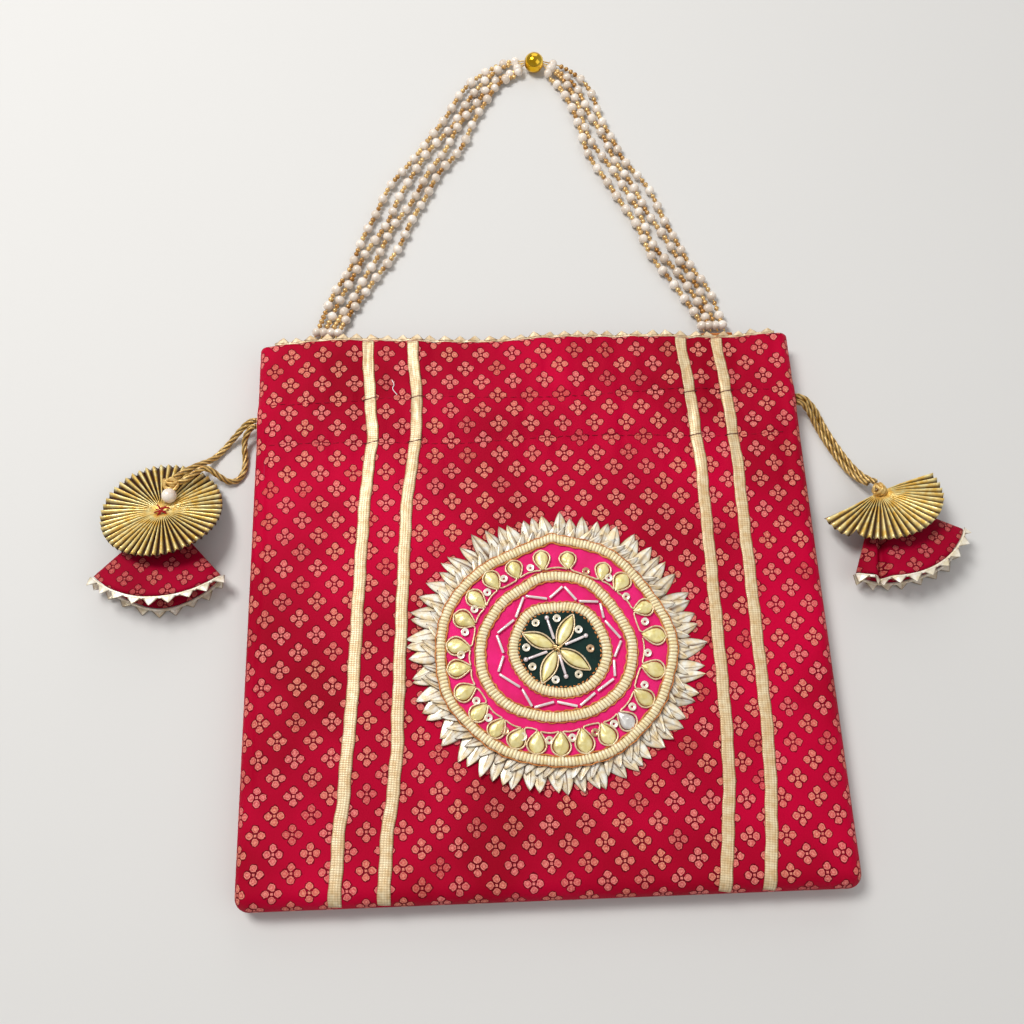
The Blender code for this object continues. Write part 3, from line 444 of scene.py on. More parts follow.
def cloth_relief(x, y):
    """Gathers, casing and folds that stand up from the flat front."""
    ramp = np.clip((y - 0.050) / (MOUTH_Y - 0.050), 0, 1)
    relief = 0.0012 * ramp * (0.5 + 0.5 * np.sin(2 * math.pi * x / 0.048))
    relief = relief + 0.0006 * bump(y, (CASING_LOW + CASING_HIGH) / 2, 0.006)
    relief = relief - 0.0004 * (bump(y, CASING_LOW, 0.0012) + bump(y, CASING_HIGH, 0.0012))
    gathers = noise_2d(x * 1.6, y * 0.35, 0.016, 7)
    relief = relief + 0.00075 * gathers * np.clip((y - 0.035) / 0.02, 0, 1)
    relief = relief + 0.0008 * noise_2d(x, y * 0.6, 0.045, 3) * (0.4 + 0.6 * ramp)
    crease = bump(x, 0.004 + 0.08 * (y - 0.065), 0.0018) * bump(y, 0.070, 0.016)
    relief = relief - 0.0006 * crease
    still = np.clip((np.hypot(x - PATCH[0], y - PATCH[1]) - 0.052) / 0.02, 0, 1)
    return relief * still


def front_z(x, y):
    """Height of the front's outer face."""
    across = rise(outline_half(y) - np.abs(x)) * rise(y - BOTTOM_Y)
    roll = 0.0041 + 0.0005 * np.sin(y * 70)
    seam = 0.0019 * bump(outline_half(y) + x, roll, 0.0012) * np.clip((0.075 - np.abs(y)) / 0.01, 0, 1)
    return MID_Z + SEAM + (EDGE_RADIUS - SEAM) * across + (cloth_relief(x, y) - seam) * across


def back_z(x, y):
    """Height of the back's outer face."""
    across = rise(outline_half(y) - np.abs(x)) * rise(y - BOTTOM_Y)
    return MID_Z - SEAM - (EDGE_RADIUS - SEAM) * across


def edge_path(steps):
    """Distances in from a seam, with the arc length still to go to the flat."""
    angle = np.linspace(0, math.pi / 2, steps)
    return EDGE_RADIUS * (1 - np.cos(angle)), EDGE_RADIUS * (math.pi / 2 - angle)


def panel_grid(spacing, steps, height, mouth_wave):
    """Points of one panel and where each lies on the flat cloth, in metres."""
    inset, arc = edge_path(steps)
    flat_height = MOUTH_Y - BOTTOM_Y - EDGE_RADIUS
    flat_y = np.arange(0, 1.0001, 1 / round(flat_height / spacing))[1:]
    rows = np.concatenate([BOTTOM_Y + inset, BOTTOM_Y + EDGE_RADIUS + flat_y * flat_height])
    drop = np.concatenate([BOTTOM_Y + EDGE_RADIUS - arc, rows[steps:]])
    share = np.linspace(-1, 1, round(2 * (HALF_WIDTH - EDGE_RADIUS) / spacing) + 1)[1:-1]
    half = outline_half(rows)[:, None]
    inner = share[None, :] * (half - EDGE_RADIUS)
    x = np.hstack([-half + inset, inner, half - inset[::-1]])
    reach = np.hstack([-half + EDGE_RADIUS - arc, inner, half - EDGE_RADIUS + arc[::-1]])
    y = np.broadcast_to(rows[:, None], x.shape)
    z = height(x, y)
    for side, key in ((-1, "left"), (1, "right")):
        slit = np.clip(1.6 - np.abs(y - EXIT_Y[key]) / 0.0045, 0, 1)
        slit = slit * np.clip(1 - (HALF_WIDTH - side * x) / 0.0035, 0, 1)
        z = z + np.sign(z - MID_Z) * 0.00135 * slit
    lift = np.clip((y - CASING_HIGH) / (MOUTH_Y - CASING_HIGH), 0, 1)
    y = y + lift * mouth_wave(x)
    spread = np.stack([reach, np.broadcast_to(drop[:, None], x.shape), np.zeros_like(x)], axis=-1)
    return np.stack([x, y, z], axis=-1), spread


def mouth_shift(x):
    return 0.0008 * np.sin(2 * math.pi * x / 0.090)


def waved(x, y):
    return y + np.clip((y - CASING_HIGH) / (MOUTH_Y - CASING_HIGH), 0, 1) * mouth_shift(x)


# ---- finishes

def buti_brocade(name, low, high, thread):
    """Silk-cotton brocade: a crimson ground with four-petal butis woven in metallic thread.

    The ground has a soft shot sheen and a fine weave; its broad lighter and darker patches are partly
    the cloth's own wandering tone and partly painted sheen. The butis sit slightly proud, catch more
    light, and fade here and there where the thread is worn."""
    recipe = Recipe(name, Roughness=0.6, Sheen_Weight=0.02, Sheen_Roughness=0.4, Specular_IOR_Level=0.06,
                    Sheen_Tint="#FF3070")
    maths, ramp = recipe.maths, recipe.ramp

    def near_level(value, level, inner, outer, shade):
        """A line where the value is near a level, as dark as the shade says."""
        return recipe.soft_step(maths("ABSOLUTE", maths("SUBTRACT", value, level)), inner, outer, shade, 1.0)

    place = recipe.add("Attribute", attribute_name="flat").outputs["Vector"]
    across, along, _ = recipe.add("SeparateXYZ", place).outputs
    # Square cells that stand on a corner, one buti in each
    cell = BUTI_PITCH / math.sqrt(2)
    turned = [maths("MULTIPLY", maths(way, across, along), 1 / (math.sqrt(2) * cell))
              for way in ("ADD", "SUBTRACT")]
    whole = [maths("FLOOR", value) for value in turned]
    local = [maths("SUBTRACT", maths("SUBTRACT", value, floor), 0.5) for value, floor in zip(turned, whole)]
    # Distances from the buti's middle in mm, across and along the cloth
    size = [maths("ABSOLUTE", maths("MULTIPLY", maths(way, *local), cell / math.sqrt(2) / MM))
            for way in ("ADD", "SUBTRACT")]
    far, near = maths("MAXIMUM", *size), maths("MINIMUM", *size)
    out = maths("POWER", maths("ABSOLUTE", maths("SUBTRACT", far, PETAL_OUT)), PETAL_POWER)
    petal = maths("POWER", maths("ADD", out, maths("POWER", near, PETAL_POWER)), 1 / PETAL_POWER)
    wobble = maths("SUBTRACT", recipe.noise(place, 900.0, 2.0), 0.5)
    petal = maths("MULTIPLY_ADD", wobble, 1.1, petal)
    body = maths("MULTIPLY", recipe.soft_step(petal, 1.20, 1.34, 1.0, 0.0),
                 near_level(petal, 0.72, 0.05, 0.34, 0.55))
    motif = maths("MAXIMUM", body, recipe.soft_step(far, 0.36, 0.50, 1.0, 0.0))
    chance = recipe.add("TexWhiteNoise", recipe.add("CombineXYZ", *whole))
    worn = maths("MULTIPLY", motif, ramp(chance, 0.72, 1.0, 1.0, 0.45))
    worn = maths("MULTIPLY", worn, recipe.patches(place, 28.0, 2.0, 0.28, 0.46, 0.55))
    # The real thread pitch is under 0.2 mm; it is drawn coarser so that it shows
    weft, warp = recipe.wave(along, WEFT_PITCH), recipe.wave(across, WARP_PITCH)
    lines = maths("MULTIPLY", ramp(weft, -1.0, 1.0, 0.82, 1.0),
                  recipe.patches(place, 1500.0, 2.0, 0.38, 0.56, 0.5))
    cover = maths("MULTIPLY", worn, lines)
    # Broad patches between the two crimsons: partly the cloth's own wandering tone, partly painted sheen.
    ground = recipe.blend(recipe.patches(place, 16.0, 3.0), low, high)
    colour = recipe.blend(cover, ground, recipe.blend(chance.outputs["Color"], *thread))
    # A fine dark outline round each petal and round the middle, where the ground is woven tighter
    rim = maths("MINIMUM", near_level(petal, 1.46, 0.08, 0.30, 0.36), near_level(far, 0.62, 0.06, 0.24, 0.36))
    dark = recipe.blend(1.0, colour, rim, blend_type="MULTIPLY")
    raised = maths("MULTIPLY_ADD", cover, 1.4, maths("MULTIPLY", weft, warp))
    return recipe.dress(dark, raised, 0.28, 0.00012)


def plain_weave(name, low, high, pitch, roughness, sheen, tint):
    """A plain woven cloth: two close colours that wander, and a crossing-thread weave."""
    recipe = Recipe(name, Roughness=roughness, Sheen_Weight=sheen, Sheen_Roughness=0.5,
                    Specular_IOR_Level=0.3, Sheen_Tint=tint)
    place = recipe.add("TexCoord").outputs["Object"]
    across, along, _ = recipe.add("SeparateXYZ", place).outputs
    crossing = recipe.maths("MULTIPLY", recipe.wave(across, pitch), recipe.wave(along, pitch))
    shade = recipe.maths("MULTIPLY_ADD", crossing, 0.12, recipe.noise(place, 140.0, 3.0))
    colour = recipe.blend(recipe.ramp(shade, 0.3, 0.7, 0.0, 1.0), low, high)
    return recipe.dress(colour, crossing, 0.35, 0.00015)


def gota(name, low, high, groove, metallic=0.45, roughness=0.38, rib=0.0):
    """Gota: ribbon woven from metal-coated thread, pale where it catches light, with brown painted shade in its
    folds.

    A mark on each mesh paints shade into its folds and hollows and draws its dark woven lines; rib draws its
    crosswise threads, with painted shade in their hollows."""
    recipe = Recipe(name, Roughness=roughness, Metallic=metallic, Specular_IOR_Level=0.5)
    place = recipe.add("TexCoord").outputs["Object"]
    shade = recipe.add("Attribute", attribute_name="groove").outputs["Fac"]
    colour = recipe.blend(recipe.patches(place, 420.0, 3.0), low, high)
    height = recipe.noise(place, 2600.0, 2.0)
    if rib:
        flat = recipe.add("Attribute", attribute_name="flat").outputs["Vector"]
        ways = recipe.add("SeparateXYZ", flat).outputs
        # Each rib's hollow is darkened: painted shade.
        for way, pitch, deep in ((ways[0], rib, 0.22), (ways[1], 0.9 * rib, 0.30)):
            wave = recipe.wave(way, pitch)
            height = recipe.maths("MULTIPLY_ADD", wave, 0.5, height)
            shade = recipe.maths("ADD", shade, recipe.ramp(wave, -1.0, 0.2, deep, 0.0), use_clamp=True)
    return recipe.dress(recipe.blend(shade, colour, groove), height, 0.3, 0.0001)


def smooth_bead(name, low, high, metallic, roughness, coat=0.0, subsurface=0.0):
    """A bead: moulded or drawn, then coated, so its colour wanders a little and its surface is glossy."""
    recipe = Recipe(name, Roughness=roughness, Metallic=metallic, Coat_Weight=coat, Coat_Roughness=0.08,
                    Subsurface_Weight=subsurface, Subsurface_Radius=(0.001, 0.0008, 0.0006))
    place = recipe.add("TexCoord").outputs["Object"]
    colour = recipe.blend(recipe.patches(place, 160.0, 2.0), low, high)
    return recipe.dress(colour, recipe.noise(place, 900.0, 2.0), 0.08, 0.0001)


# Every finish: how it is made, then its name, its colours from dark to light, and its other settings
THREAD = (0.0004, 0.8)
RECIPES = {
    "brocade": (buti_brocade, "silk_cotton_buti_brocade", "#98001E", "#C80036", ("#F28A84", "#EC987A")),
    # The cones take a darker copy of the brocade, ground and thread alike: painted shade, as they lie in the
    # shade of the rosette and the fan.
    "shaded_brocade": (buti_brocade, "silk_cotton_buti_brocade_tassel", "#760012", "#A4002A",
                       ("#D06A68", "#CC7460")),
    "lining": (plain_weave, "cotton_lining_plain_weave", "#8F0E3A", "#A8164A", 0.0006, 0.75, 0.1, "#FFFFFF"),
    "raw_silk": (plain_weave, "raw_silk_hot_pink", "#D8005F", "#F00C78", 0.0005, 0.6, 0.3, "#FF9CCB"),
    "velvet": (plain_weave, "cotton_velvet_bottle_green", "#071A17", "#12302A", 0.0004, 0.9, 0.5, "#6FA090"),
    "orange_thread": (plain_weave, "cotton_thread_orange", "#BE6A2C", "#E09450", *THREAD, 0.2, "#FFD0A0"),
    "red_thread": (plain_weave, "cotton_thread_red", "#8E1412", "#B82420", *THREAD, 0.2, "#FF9080"),
    "crimson_thread": (plain_weave, "cotton_thread_crimson", "#82001E", "#A00028", *THREAD, 0.0, "#FF9080"),
    "dark_thread": (plain_weave, "cotton_thread_dark", "#4A1622", "#6A2030", *THREAD, 0.1, "#FF9080"),
    "white_thread": (plain_weave, "cotton_thread_white", "#E8D8DC", "#FFF4F4", *THREAD, 0.2, "#FFFFFF"),
    # For each gota finish the third colour is its painted shade in folds, valleys and hollows, and the colour of
    # its dark woven lines.
    "ribbon": (gota, "gota_ribbon_woven", "#E0BE8A", "#F4E0B6", "#946C3C", 0.15, 0.38, 0.0009),
    "fringe": (gota, "gota_leaf_folded", "#F2D8A6", "#FFFDF0", "#643A12", 0.12, 0.32),
    "braid": (gota, "gota_braid_ribbed", "#EED8A0", "#FCEFC8", "#86561E", 0.12),
    "mouth_trim": (gota, "gota_zigzag_tarnished", "#D6B484", "#F4E0BC", "#6A4424", 0.15),
    "trim": (gota, "gota_zigzag_folded", "#EADBB8", "#FFF8E8", "#6E5028", 0.15, 0.34),
    "foil": (gota, "foil_drop_padded", "#EBD98A", "#FBF0B4", "#9A7024", 0.25, 0.34),
    "silver_foil": (gota, "foil_drop_padded_silver", "#E3DDD6", "#F8F4EE", "#8A8078", 0.4),
    "pleated": (gota, "gold_tissue_pleated", "#F4C860", "#FFF0B0", "#381200", 0.3, 0.28),
    "couched_cord": (gota, "zari_cord_couched", "#D8B98C", "#EFD9B4", "#8E6A44", 0.4),
    "zari": (gota, "zari_cord_twisted", "#B88A3A", "#F0CC80", "#3A2208", 0.3, 0.36),
    "pearl": (smooth_bead, "pearl_lacquered_acrylic", "#D8C6B2", "#F6EADC", 0.0, 0.18, 0.8, 0.08),
    "seed": (smooth_bead, "seed_bead_rose_gold", "#A87434", "#F0CC8C", 0.5, 0.2),
    "bugle": (smooth_bead, "bugle_bead_silver_lined", "#E6D0D2", "#FFF4F2", 0.3, 0.2, 0.5),
    "sequin": (smooth_bead, "sequin_stamped_metallised", "#EADBBC", "#FFF8EA", 0.3, 0.25),
    "gold_sequin": (smooth_bead, "sequin_stamped_gold", "#C49A72", "#E2BC94", 0.5, 0.25),
    "gold": (smooth_bead, "gold_bead_metallised", "#E3AE1C", "#F6CF52", 1.0, 0.14),
}
FINISHES = {}


def finish(name):
    """Each finish is made once, when the first piece asks for it."""
    if name not in FINISHES:
        make_finish, *settings = RECIPES[name]
        FINISHES[name] = make_finish(*settings)
    return FINISHES[name]


def make(name, grids, cover, body, slot, *nodes, **options):
    """Makes a piece in a finish and carries it on a body, in place of the frame's nodes."""
    return carry(sheets(name, grids, finish(cover), **options), body, slot, *nodes)


# ---- settings that a user would change

class PotliSizes(bpy.types.PropertyGroup):
    """Sizes of the decoration, in metres unless they say otherwise."""
    pearl: FloatProperty(name="Pearl", description="Diameter of a handle pearl", default=0.0042,
                         min=0.003, max=0.005, unit="LENGTH")
    pearl_pitch: FloatProperty(name="Pearl pitch", description="Distance from pearl to pearl",
                               default=0.0083, min=0.006, max=0.012, unit="LENGTH")
    strand_spacing: FloatProperty(name="Strand spacing", description="Distance between handle strands",
                                  default=0.0044, min=0.003, max=0.006, unit="LENGTH")
    petals: IntProperty(name="Fringe leaves", description="Folded leaves round the patch",
                        default=68, min=40, max=90)
    pleats: IntProperty(name="Pleats", description="Pleats in a full rosette", default=50, min=30, max=70)
    tooth: FloatProperty(name="Tooth", description="Height of a trim tooth", default=0.0030,
                         min=0.002, max=0.004, unit="LENGTH")


class PotliColours(bpy.types.PropertyGroup):
    """Colours of the stage."""
    floor: FloatVectorProperty(name="Floor", description="Colour of the studio floor", subtype="COLOR",
                               default=linear("#D8D6D2")[:3], size=3, min=0.0, max=1.0)


# ---- pieces

class POTLI_OT_panels(bpy.types.Operator):
    """Sew the front and back panels"""
    bl_idname = "potli.panels"
    bl_label = "Sew panels"

    def execute(self, context):
        grid, spread = panel_grid(0.0016, 9, front_z, mouth_shift)
        make("front_cloth", [grid], "brocade", "bag", "crimson_brocade", "front_panel", thickness=CLOTH,
             flat=spread.reshape(-1, 3))
        # The back is cut from another part of the cloth, so its butis fall elsewhere
        grid, spread = panel_grid(0.0032, 9, back_z, lambda x: 0 * x)
        spread = spread[:, ::-1] + np.array([0.0031, 0.0047, 0])
        back = sheets("back_cloth", [grid[:, ::-1]], finish("brocade"), thickness=CLOTH,
                      flat=spread.reshape(-1, 3))
        back.data.flip_normals()
        carry(back, "bag", "crimson_brocade", "back_panel")
        return {"FINISHED"}


class POTLI_OT_lining(bpy.types.Operator):
    """Line the bag with a plain cotton pouch"""
    bl_idname = "potli.lining"
    bl_label = "Line bag"

    def execute(self, context):
        full = 0.0052
        side = 0.1059
        keys = np.array([
            (BOTTOM_Y + 0.0036, side - 0.012, 0.15 * full), (BOTTOM_Y + 0.0055, side - 0.0036, 0.7 * full),
            (BOTTOM_Y + 0.0098, side - 0.0012, full), (0.0619, side, full), (0.0697, 0.086, 0.0029),
            (0.0858, 0.086, 0.0029), (0.0936, side, full), (MOUTH_Y - 0.0003, side, full)])
        rows = np.unique(np.concatenate([keys[:, 0], np.linspace(keys[0, 0], keys[-1, 0], 70)]))
        turn = np.linspace(-math.pi / 2, math.pi / 2, 7)
        grid = []
        for y in rows:
            half_width = np.interp(y, keys[:, 0], keys[:, 1])
            half_height = np.interp(y, keys[:, 0], keys[:, 2]) - 0.00005
            ring = []
            for way in (1, -1):
                ring += [(way * (half_width - half_height + half_height * math.cos(a)), y,
                          MID_Z + way * half_height * math.sin(a)) for a in turn]
                ring += [(way * (half_width - half_height) * (1 - 2 * t), y, MID_Z + way * half_height)
                         for t in np.linspace(0, 1, 26)[1:-1]]
            grid.append(ring)
        grid = np.array(grid)
        bottom = grid[:1].copy()
        bottom[..., 2] = MID_Z
        grid = np.concatenate([bottom, grid])
        make("lining_pouch", [grid], "lining", "bag", "pink_lining", "lining", wrap=(False, True),
             thickness=0.0005)
        return {"FINISHED"}


def on_front(xy, lift):
    """Points a little above the front cloth."""
    x, y = np.moveaxis(np.asarray(xy, dtype=float), -1, 0)
    return np.stack([x, waved(x, y), front_z(x, y) + lift], axis=-1)


def stitch_grids(line, length, gap, radius, lift, sides=6):
    """Running stitches along a line on the front: each is a short bowed thread."""
    line = smooth_line(line, 0.0005)
    along = distances(line)
    grids = []
    start = 0.0
    while start + length < along[-1]:
        at = start + np.linspace(0, length, 7)
        xy = np.stack([np.interp(at, along, line[:, k]) for k in (0, 1)], axis=-1)
        points = on_front(xy, lift)
        points[:, 2] += radius * 1.2 * np.sin(np.linspace(0, math.pi, 7)) - 0.4 * radius
        grids.append(tube_grid(points, radius, sides))
        start += length + gap
    return grids


class POTLI_OT_stitches(bpy.types.Operator):
    """Stitch the casing, and leave the loose thread end"""
    bl_idname = "potli.stitches"
    bl_label = "Stitch casing"

    def execute(self, context):
        grids = []
        for y in (CASING_LOW, CASING_HIGH):
            x = np.linspace(-HALF_WIDTH + 0.006, HALF_WIDTH - 0.006, 40)
            sway = 0.0009 * np.sin(x * 60 + y * 900) + (0.0012 if y > 0.07 else 0.0008) * (x / HALF_WIDTH)
            grids += stitch_grids(np.stack([x, y + sway], axis=-1), 0.0024, 0.0011, 0.00013, 0.00008)
        make("casing_stitches", grids, "crimson_thread", "bag", "bound_thread", wrap=(False, True))
        grids = []
        for middle in RIBBONS.values():
            middle = np.array(middle) * MM
            for y in (CASING_LOW, CASING_HIGH):
                x = np.interp(y, middle[::-1, 1], middle[::-1, 0])
                ends = np.array([(x - 0.0029, y - 0.0004), (x + 0.0029, y + 0.0005)])
                points = on_front(smooth_line(ends, 0.0006), 0.00072)
                points[[0, -1], 2] -= 0.0005
                grids.append(tube_grid(points, 0.00017, 6))
        make("casing_stitches_on_ribbons", grids, "dark_thread", "bag", "bound_thread", wrap=(False, True))
        end = ((-0.0544, 0.0890), (-0.0536, 0.0871), (-0.0541, 0.0852), (-0.0524, 0.0828))
        grid = tube_grid(on_front(smooth_line(end, 0.0004), 0.0003), 0.00018, 6)
        make("loose_thread", [grid], "white_thread", "bag", "bound_thread", wrap=(False, True))
        return {"FINISHED"}


class POTLI_OT_ribbons(bpy.types.Operator):
    """Lay the four gota ribbons down the front"""
    bl_idname = "potli.ribbons"
    bl_label = "Lay ribbons"

    def execute(self, context):
        spacing = 0.0011
        across = np.linspace(-0.5, 0.5, 9)
        for name, middle in RIBBONS.items():
            line = np.array(middle) * MM
            top = (line[0][0] + 0.1 * (line[0][0] - line[1][0]), MOUTH_Y - 0.0004)
            line = np.vstack([top, line])
            line[-1, 1] = BOTTOM_Y + 0.0007
            line = smooth_line(line, spacing)
            row = np.arange(len(line))[:, None]
            way = unit(np.gradient(line, axis=0))
            side = np.stack([way[:, 1], -way[:, 0]], axis=-1)
            wander = 0.00012 * np.sin(row * 0.35 + len(name))
            width = RIBBON_WIDTH * (1 + 0.04 * np.sin(row * 0.8))
            xy = line[:, None, :] + side[:, None, :] * (across * width + wander)[..., None]
            points = on_front(xy, 0.00038)
            pucker = 0.00007 * np.sin(row * 1.9) * (2 * np.abs(across)) ** 2
            points[..., 2] += 0.00022 * (1 - (2 * np.abs(across)) ** 4) + pucker
            flat = np.stack(np.broadcast_arrays(across * RIBBON_WIDTH, row * spacing, 0.0), axis=-1)
            # The selvedges are dark, and so is a fine line beside each
            edge = 0.55 * (np.abs(across) > 0.45) + 0.18 * (np.abs(np.abs(across) - 0.3) < 0.05)
            make(name + "_gota", [points], "ribbon", "bag", "pale_gota", name, thickness=0.0003,
                 flat=flat.reshape(-1, 3), groove=np.broadcast_to(edge, flat.shape[:2]).ravel())
        return {"FINISHED"}


def tooth_grid(base, along, out, up, width, height, rng):
    """One folded gota tooth: a pointed leaf with a ridge, standing out from its base line."""
    height = height * rng.uniform(0.82, 1.12)
    lean = rng.uniform(-0.12, 0.12) * width
    s = np.linspace(0, 1, 7)[:, None]
    t = np.linspace(-1, 1, 9)[None, :]
    half = width / 2 * (1 - s) ** 0.92
    ridge = 0.00034 * (1 - np.abs(t)) * (1 - 0.5 * s)
    fold = 0.00012 * np.cos(3 * math.pi * t) * (1 - s)
    forward = height * s + 0 * t
    sideways = half * t + lean * s
    raised = ridge + fold + rng.uniform(-0.0001, 0.0003) * s
    place = base + sideways[..., None] * along + forward[..., None] * out + raised[..., None] * up
    # Painted shade: the tooth is darker at its edges, at its root by the band, and along two fold lines.
    groove = 0.75 * np.abs(t) ** 6 + 0.25 * (1 - s) ** 3 + 0.3 * (np.abs(np.abs(t) - 0.35) < 0.06)
    return place, np.broadcast_to(np.clip(groove, 0, 1), place.shape[:2])


def trim_piece(name, line, out, up, tooth, pitch, seed, cover="trim"):
    """A zigzag trim along a line: a narrow folded band with a tooth at each pitch."""
    rng = np.random.default_rng(seed)
    line = np.asarray(line, dtype=float)
    along = distances(line)
    count = round(along[-1] / pitch)
    grids, grooves = [], []
    at = np.linspace(0, along[-1], 4 * count + 1)
    base, outs, ups = (np.stack([np.interp(at, along, values[:, k]) for k in range(3)], axis=-1)
                       for values in (line, out, up))
    outs, ups = unit(outs), unit(ups)
    band = np.linspace(0.0, 0.0010, 4)
    grids.append(base[:, None, :] + outs[:, None, :] * band[None, :, None]
                 + ups[:, None, :] * (0.00008 * np.sin(at * 9000))[:, None, None])
    # Painted shade: the band's outer strip, under the teeth, is darker.
    grooves.append(np.broadcast_to(0.25 * (band > 0.0008), grids[0].shape[:2]))
    for i in range(count):
        k = 4 * i + 2
        way = unit(base[k + 1] - base[k - 1])
        point, groove = tooth_grid(base[k] + outs[k] * 0.0005, way, outs[k], ups[k], 0.98 * pitch, tooth, rng)
        grids.append(point)
        grooves.append(groove)
    marks = np.concatenate([np.asarray(g).ravel() for g in grooves])
    return sheets(name, grids, finish(cover), thickness=0.00028, offset=0, groove=marks)


class POTLI_OT_mouth_trim(bpy.types.Operator):
    """Sew the zigzag trim on both edges of the mouth"""
    bl_idname = "potli.mouth_trim"
    bl_label = "Trim mouth"

    def execute(self, context):
        sizes = context.scene.potli_sizes
        x = np.linspace(-HALF_WIDTH + 0.0066, HALF_WIDTH - 0.0066, 120)
        y = np.full_like(x, MOUTH_Y)
        out = np.tile((0.0, 1.0, 0.0), (len(x), 1))
        up = np.tile((0.0, 0.0, 1.0), (len(x), 1))
        edges = (("front", waved(x, y), front_z(x, y) - CLOTH / 2, 0.0061, 5),
                 ("back", y, np.full_like(x, CLOTH / 2 + 0.0001), 0.0063, 6))
        for side, edge_y, edge_z, pitch, seed in edges:
            base = np.stack([x, edge_y + 0.0003, edge_z], axis=-1)
            piece = trim_piece(f"mouth_zigzag_{side}", base, out, up, 0.75 * sizes.tooth, pitch, seed,
                               "mouth_trim")
            carry(piece, "bag", "pale_gota", f"mouth_trim_{side}")
        return {"FINISHED"}


def polar(radius, angle, z):
    """Points of the patch from radii in metres and angles in radians."""
    return np.stack([PATCH[0] + radius * np.cos(angle), PATCH[1] + radius * np.sin(angle), z + 0 * radius],
                    axis=-1)


def on_patch(degrees, radius, *height):
    """One point of the patch from an angle in degrees and a radius in mm."""
    radial, _ = ways(math.radians(degrees))
    return np.array([*(np.array(PATCH) + radius * MM * radial), *height])


def ways(turn):
    """Unit vectors outwards and round the patch at an angle."""
    return np.array([math.cos(turn), math.sin(turn)]), np.array([-math.sin(turn), math.cos(turn)])


def patch_line(name, angle):
    """Radius of a hand-laid line, smooth through its listed radii."""
    angle = np.asarray(angle, dtype=float)
    listed = PATCH_LINES[name]
    waves = np.fft.rfft(listed) / len(listed)
    total = waves[0].real + 0 * angle
    for k, wave in enumerate(waves[1:], 1):
        gain = 1 if 2 * k == len(listed) else 2
        total = total + gain * (wave.real * np.cos(k * angle) - wave.imag * np.sin(k * angle))
    return total * MM


class POTLI_OT_fringe(bpy.types.Operator):
    """Fold the ring of gota leaves round the patch"""
    bl_idname = "potli.fringe"
    bl_label = "Fold fringe"

    def execute(self, context):
        rng = np.random.default_rng(12)
        count = context.scene.potli_sizes.petals
        leaves = []
        for i in range(count):
            turn = 2 * math.pi * (i + rng.uniform(-0.22, 0.22)) / count
            base = float(patch_line("outer", turn)) + 0.0014
            tip = float(patch_line("tips", turn)) * rng.uniform(0.975, 1.012)
            leaves.append(self.leaf(turn, base, tip, rng.uniform(0.08, 0.36),
                                    0.0036 * rng.uniform(0.88, 1.12),
                                    LEAF_Z, rng))
        # The short ends that are folded back over the roots
        for i in range(count):
            turn = 2 * math.pi * (i + 0.35 + rng.uniform(-0.2, 0.2)) / count
            base = float(patch_line("outer", turn)) + 0.0010
            leaves.append(self.leaf(turn, base, base + 0.0054 * rng.uniform(0.8, 1.15),
                                    -rng.uniform(0.35, 0.75),
                                    0.0019 * rng.uniform(0.85, 1.15), FOLD_Z, rng))
        grids, grooves = zip(*leaves)
        make("gota_leaf_fringe", grids, "fringe", "bag", "pale_gota", "petal_fringe", thickness=0.0002,
             groove=np.concatenate([g.ravel() for g in grooves]))
        return {"FINISHED"}

    def leaf(self, turn, base, tip, slant, half, low, rng):
        """A folded leaf: wide near its root, creased down its middle, pointed outside."""
        s = np.linspace(0, 1, 11)[:, None]
        t = np.linspace(-1, 1, 13)[None, :]
        shape = half * (1 - s ** 1.9) ** 0.85 * (0.8 + 0.2 * np.clip(s / 0.25, 0, 1))
        length = tip - base
        out = base + length * s + 0 * t
        side = shape * t + length * s * math.tan(slant)
        middle = rng.uniform(-0.25, 0.25)
        swell = 0.35 + 0.65 * np.sin(math.pi * np.clip(s + 0.12, 0, 1))
        crease = 0.0006 * (1 - np.abs(t - middle) / (1 + abs(middle))) * swell
        ribs = 0.00010 * np.cos(5 * math.pi * t) * (1 - 0.6 * s)
        roll = rng.uniform(0.0002, 0.0006)
        z = low + crease + ribs + roll * t * (1 - 0.3 * s) + rng.uniform(0.0, 0.0012) * s ** 3
        radial, cross = ways(turn)
        flat = out[..., None] * radial + side[..., None] * cross
        grid = np.stack([PATCH[0] + flat[..., 0], PATCH[1] + flat[..., 1], z], axis=-1)
        # Painted shade: one half of each leaf, on one side of its crease, is darker as if turned from the light.
        # The root, the edges, the crease line and the troughs between the ribs are darkened as painted shade,
        # the tip is darkened too, and each leaf takes a random tone of its own.
        side_shade = 0.2 * (t < middle) if rng.uniform() < 0.6 else 0.1 * (t > middle)
        edges = 0.4 * (1 - s) ** 4 + 0.95 * np.abs(t) ** 6 + 0.6 * s ** 8
        folds = (0.75 * (np.abs(t - middle) < 0.1) * (1 - 0.5 * s)
                 + 0.2 * np.clip(-np.cos(5 * math.pi * t), 0, 1))
        return grid, np.clip(edges + folds + side_shade + rng.uniform(-0.25, 0.02), 0, 1)


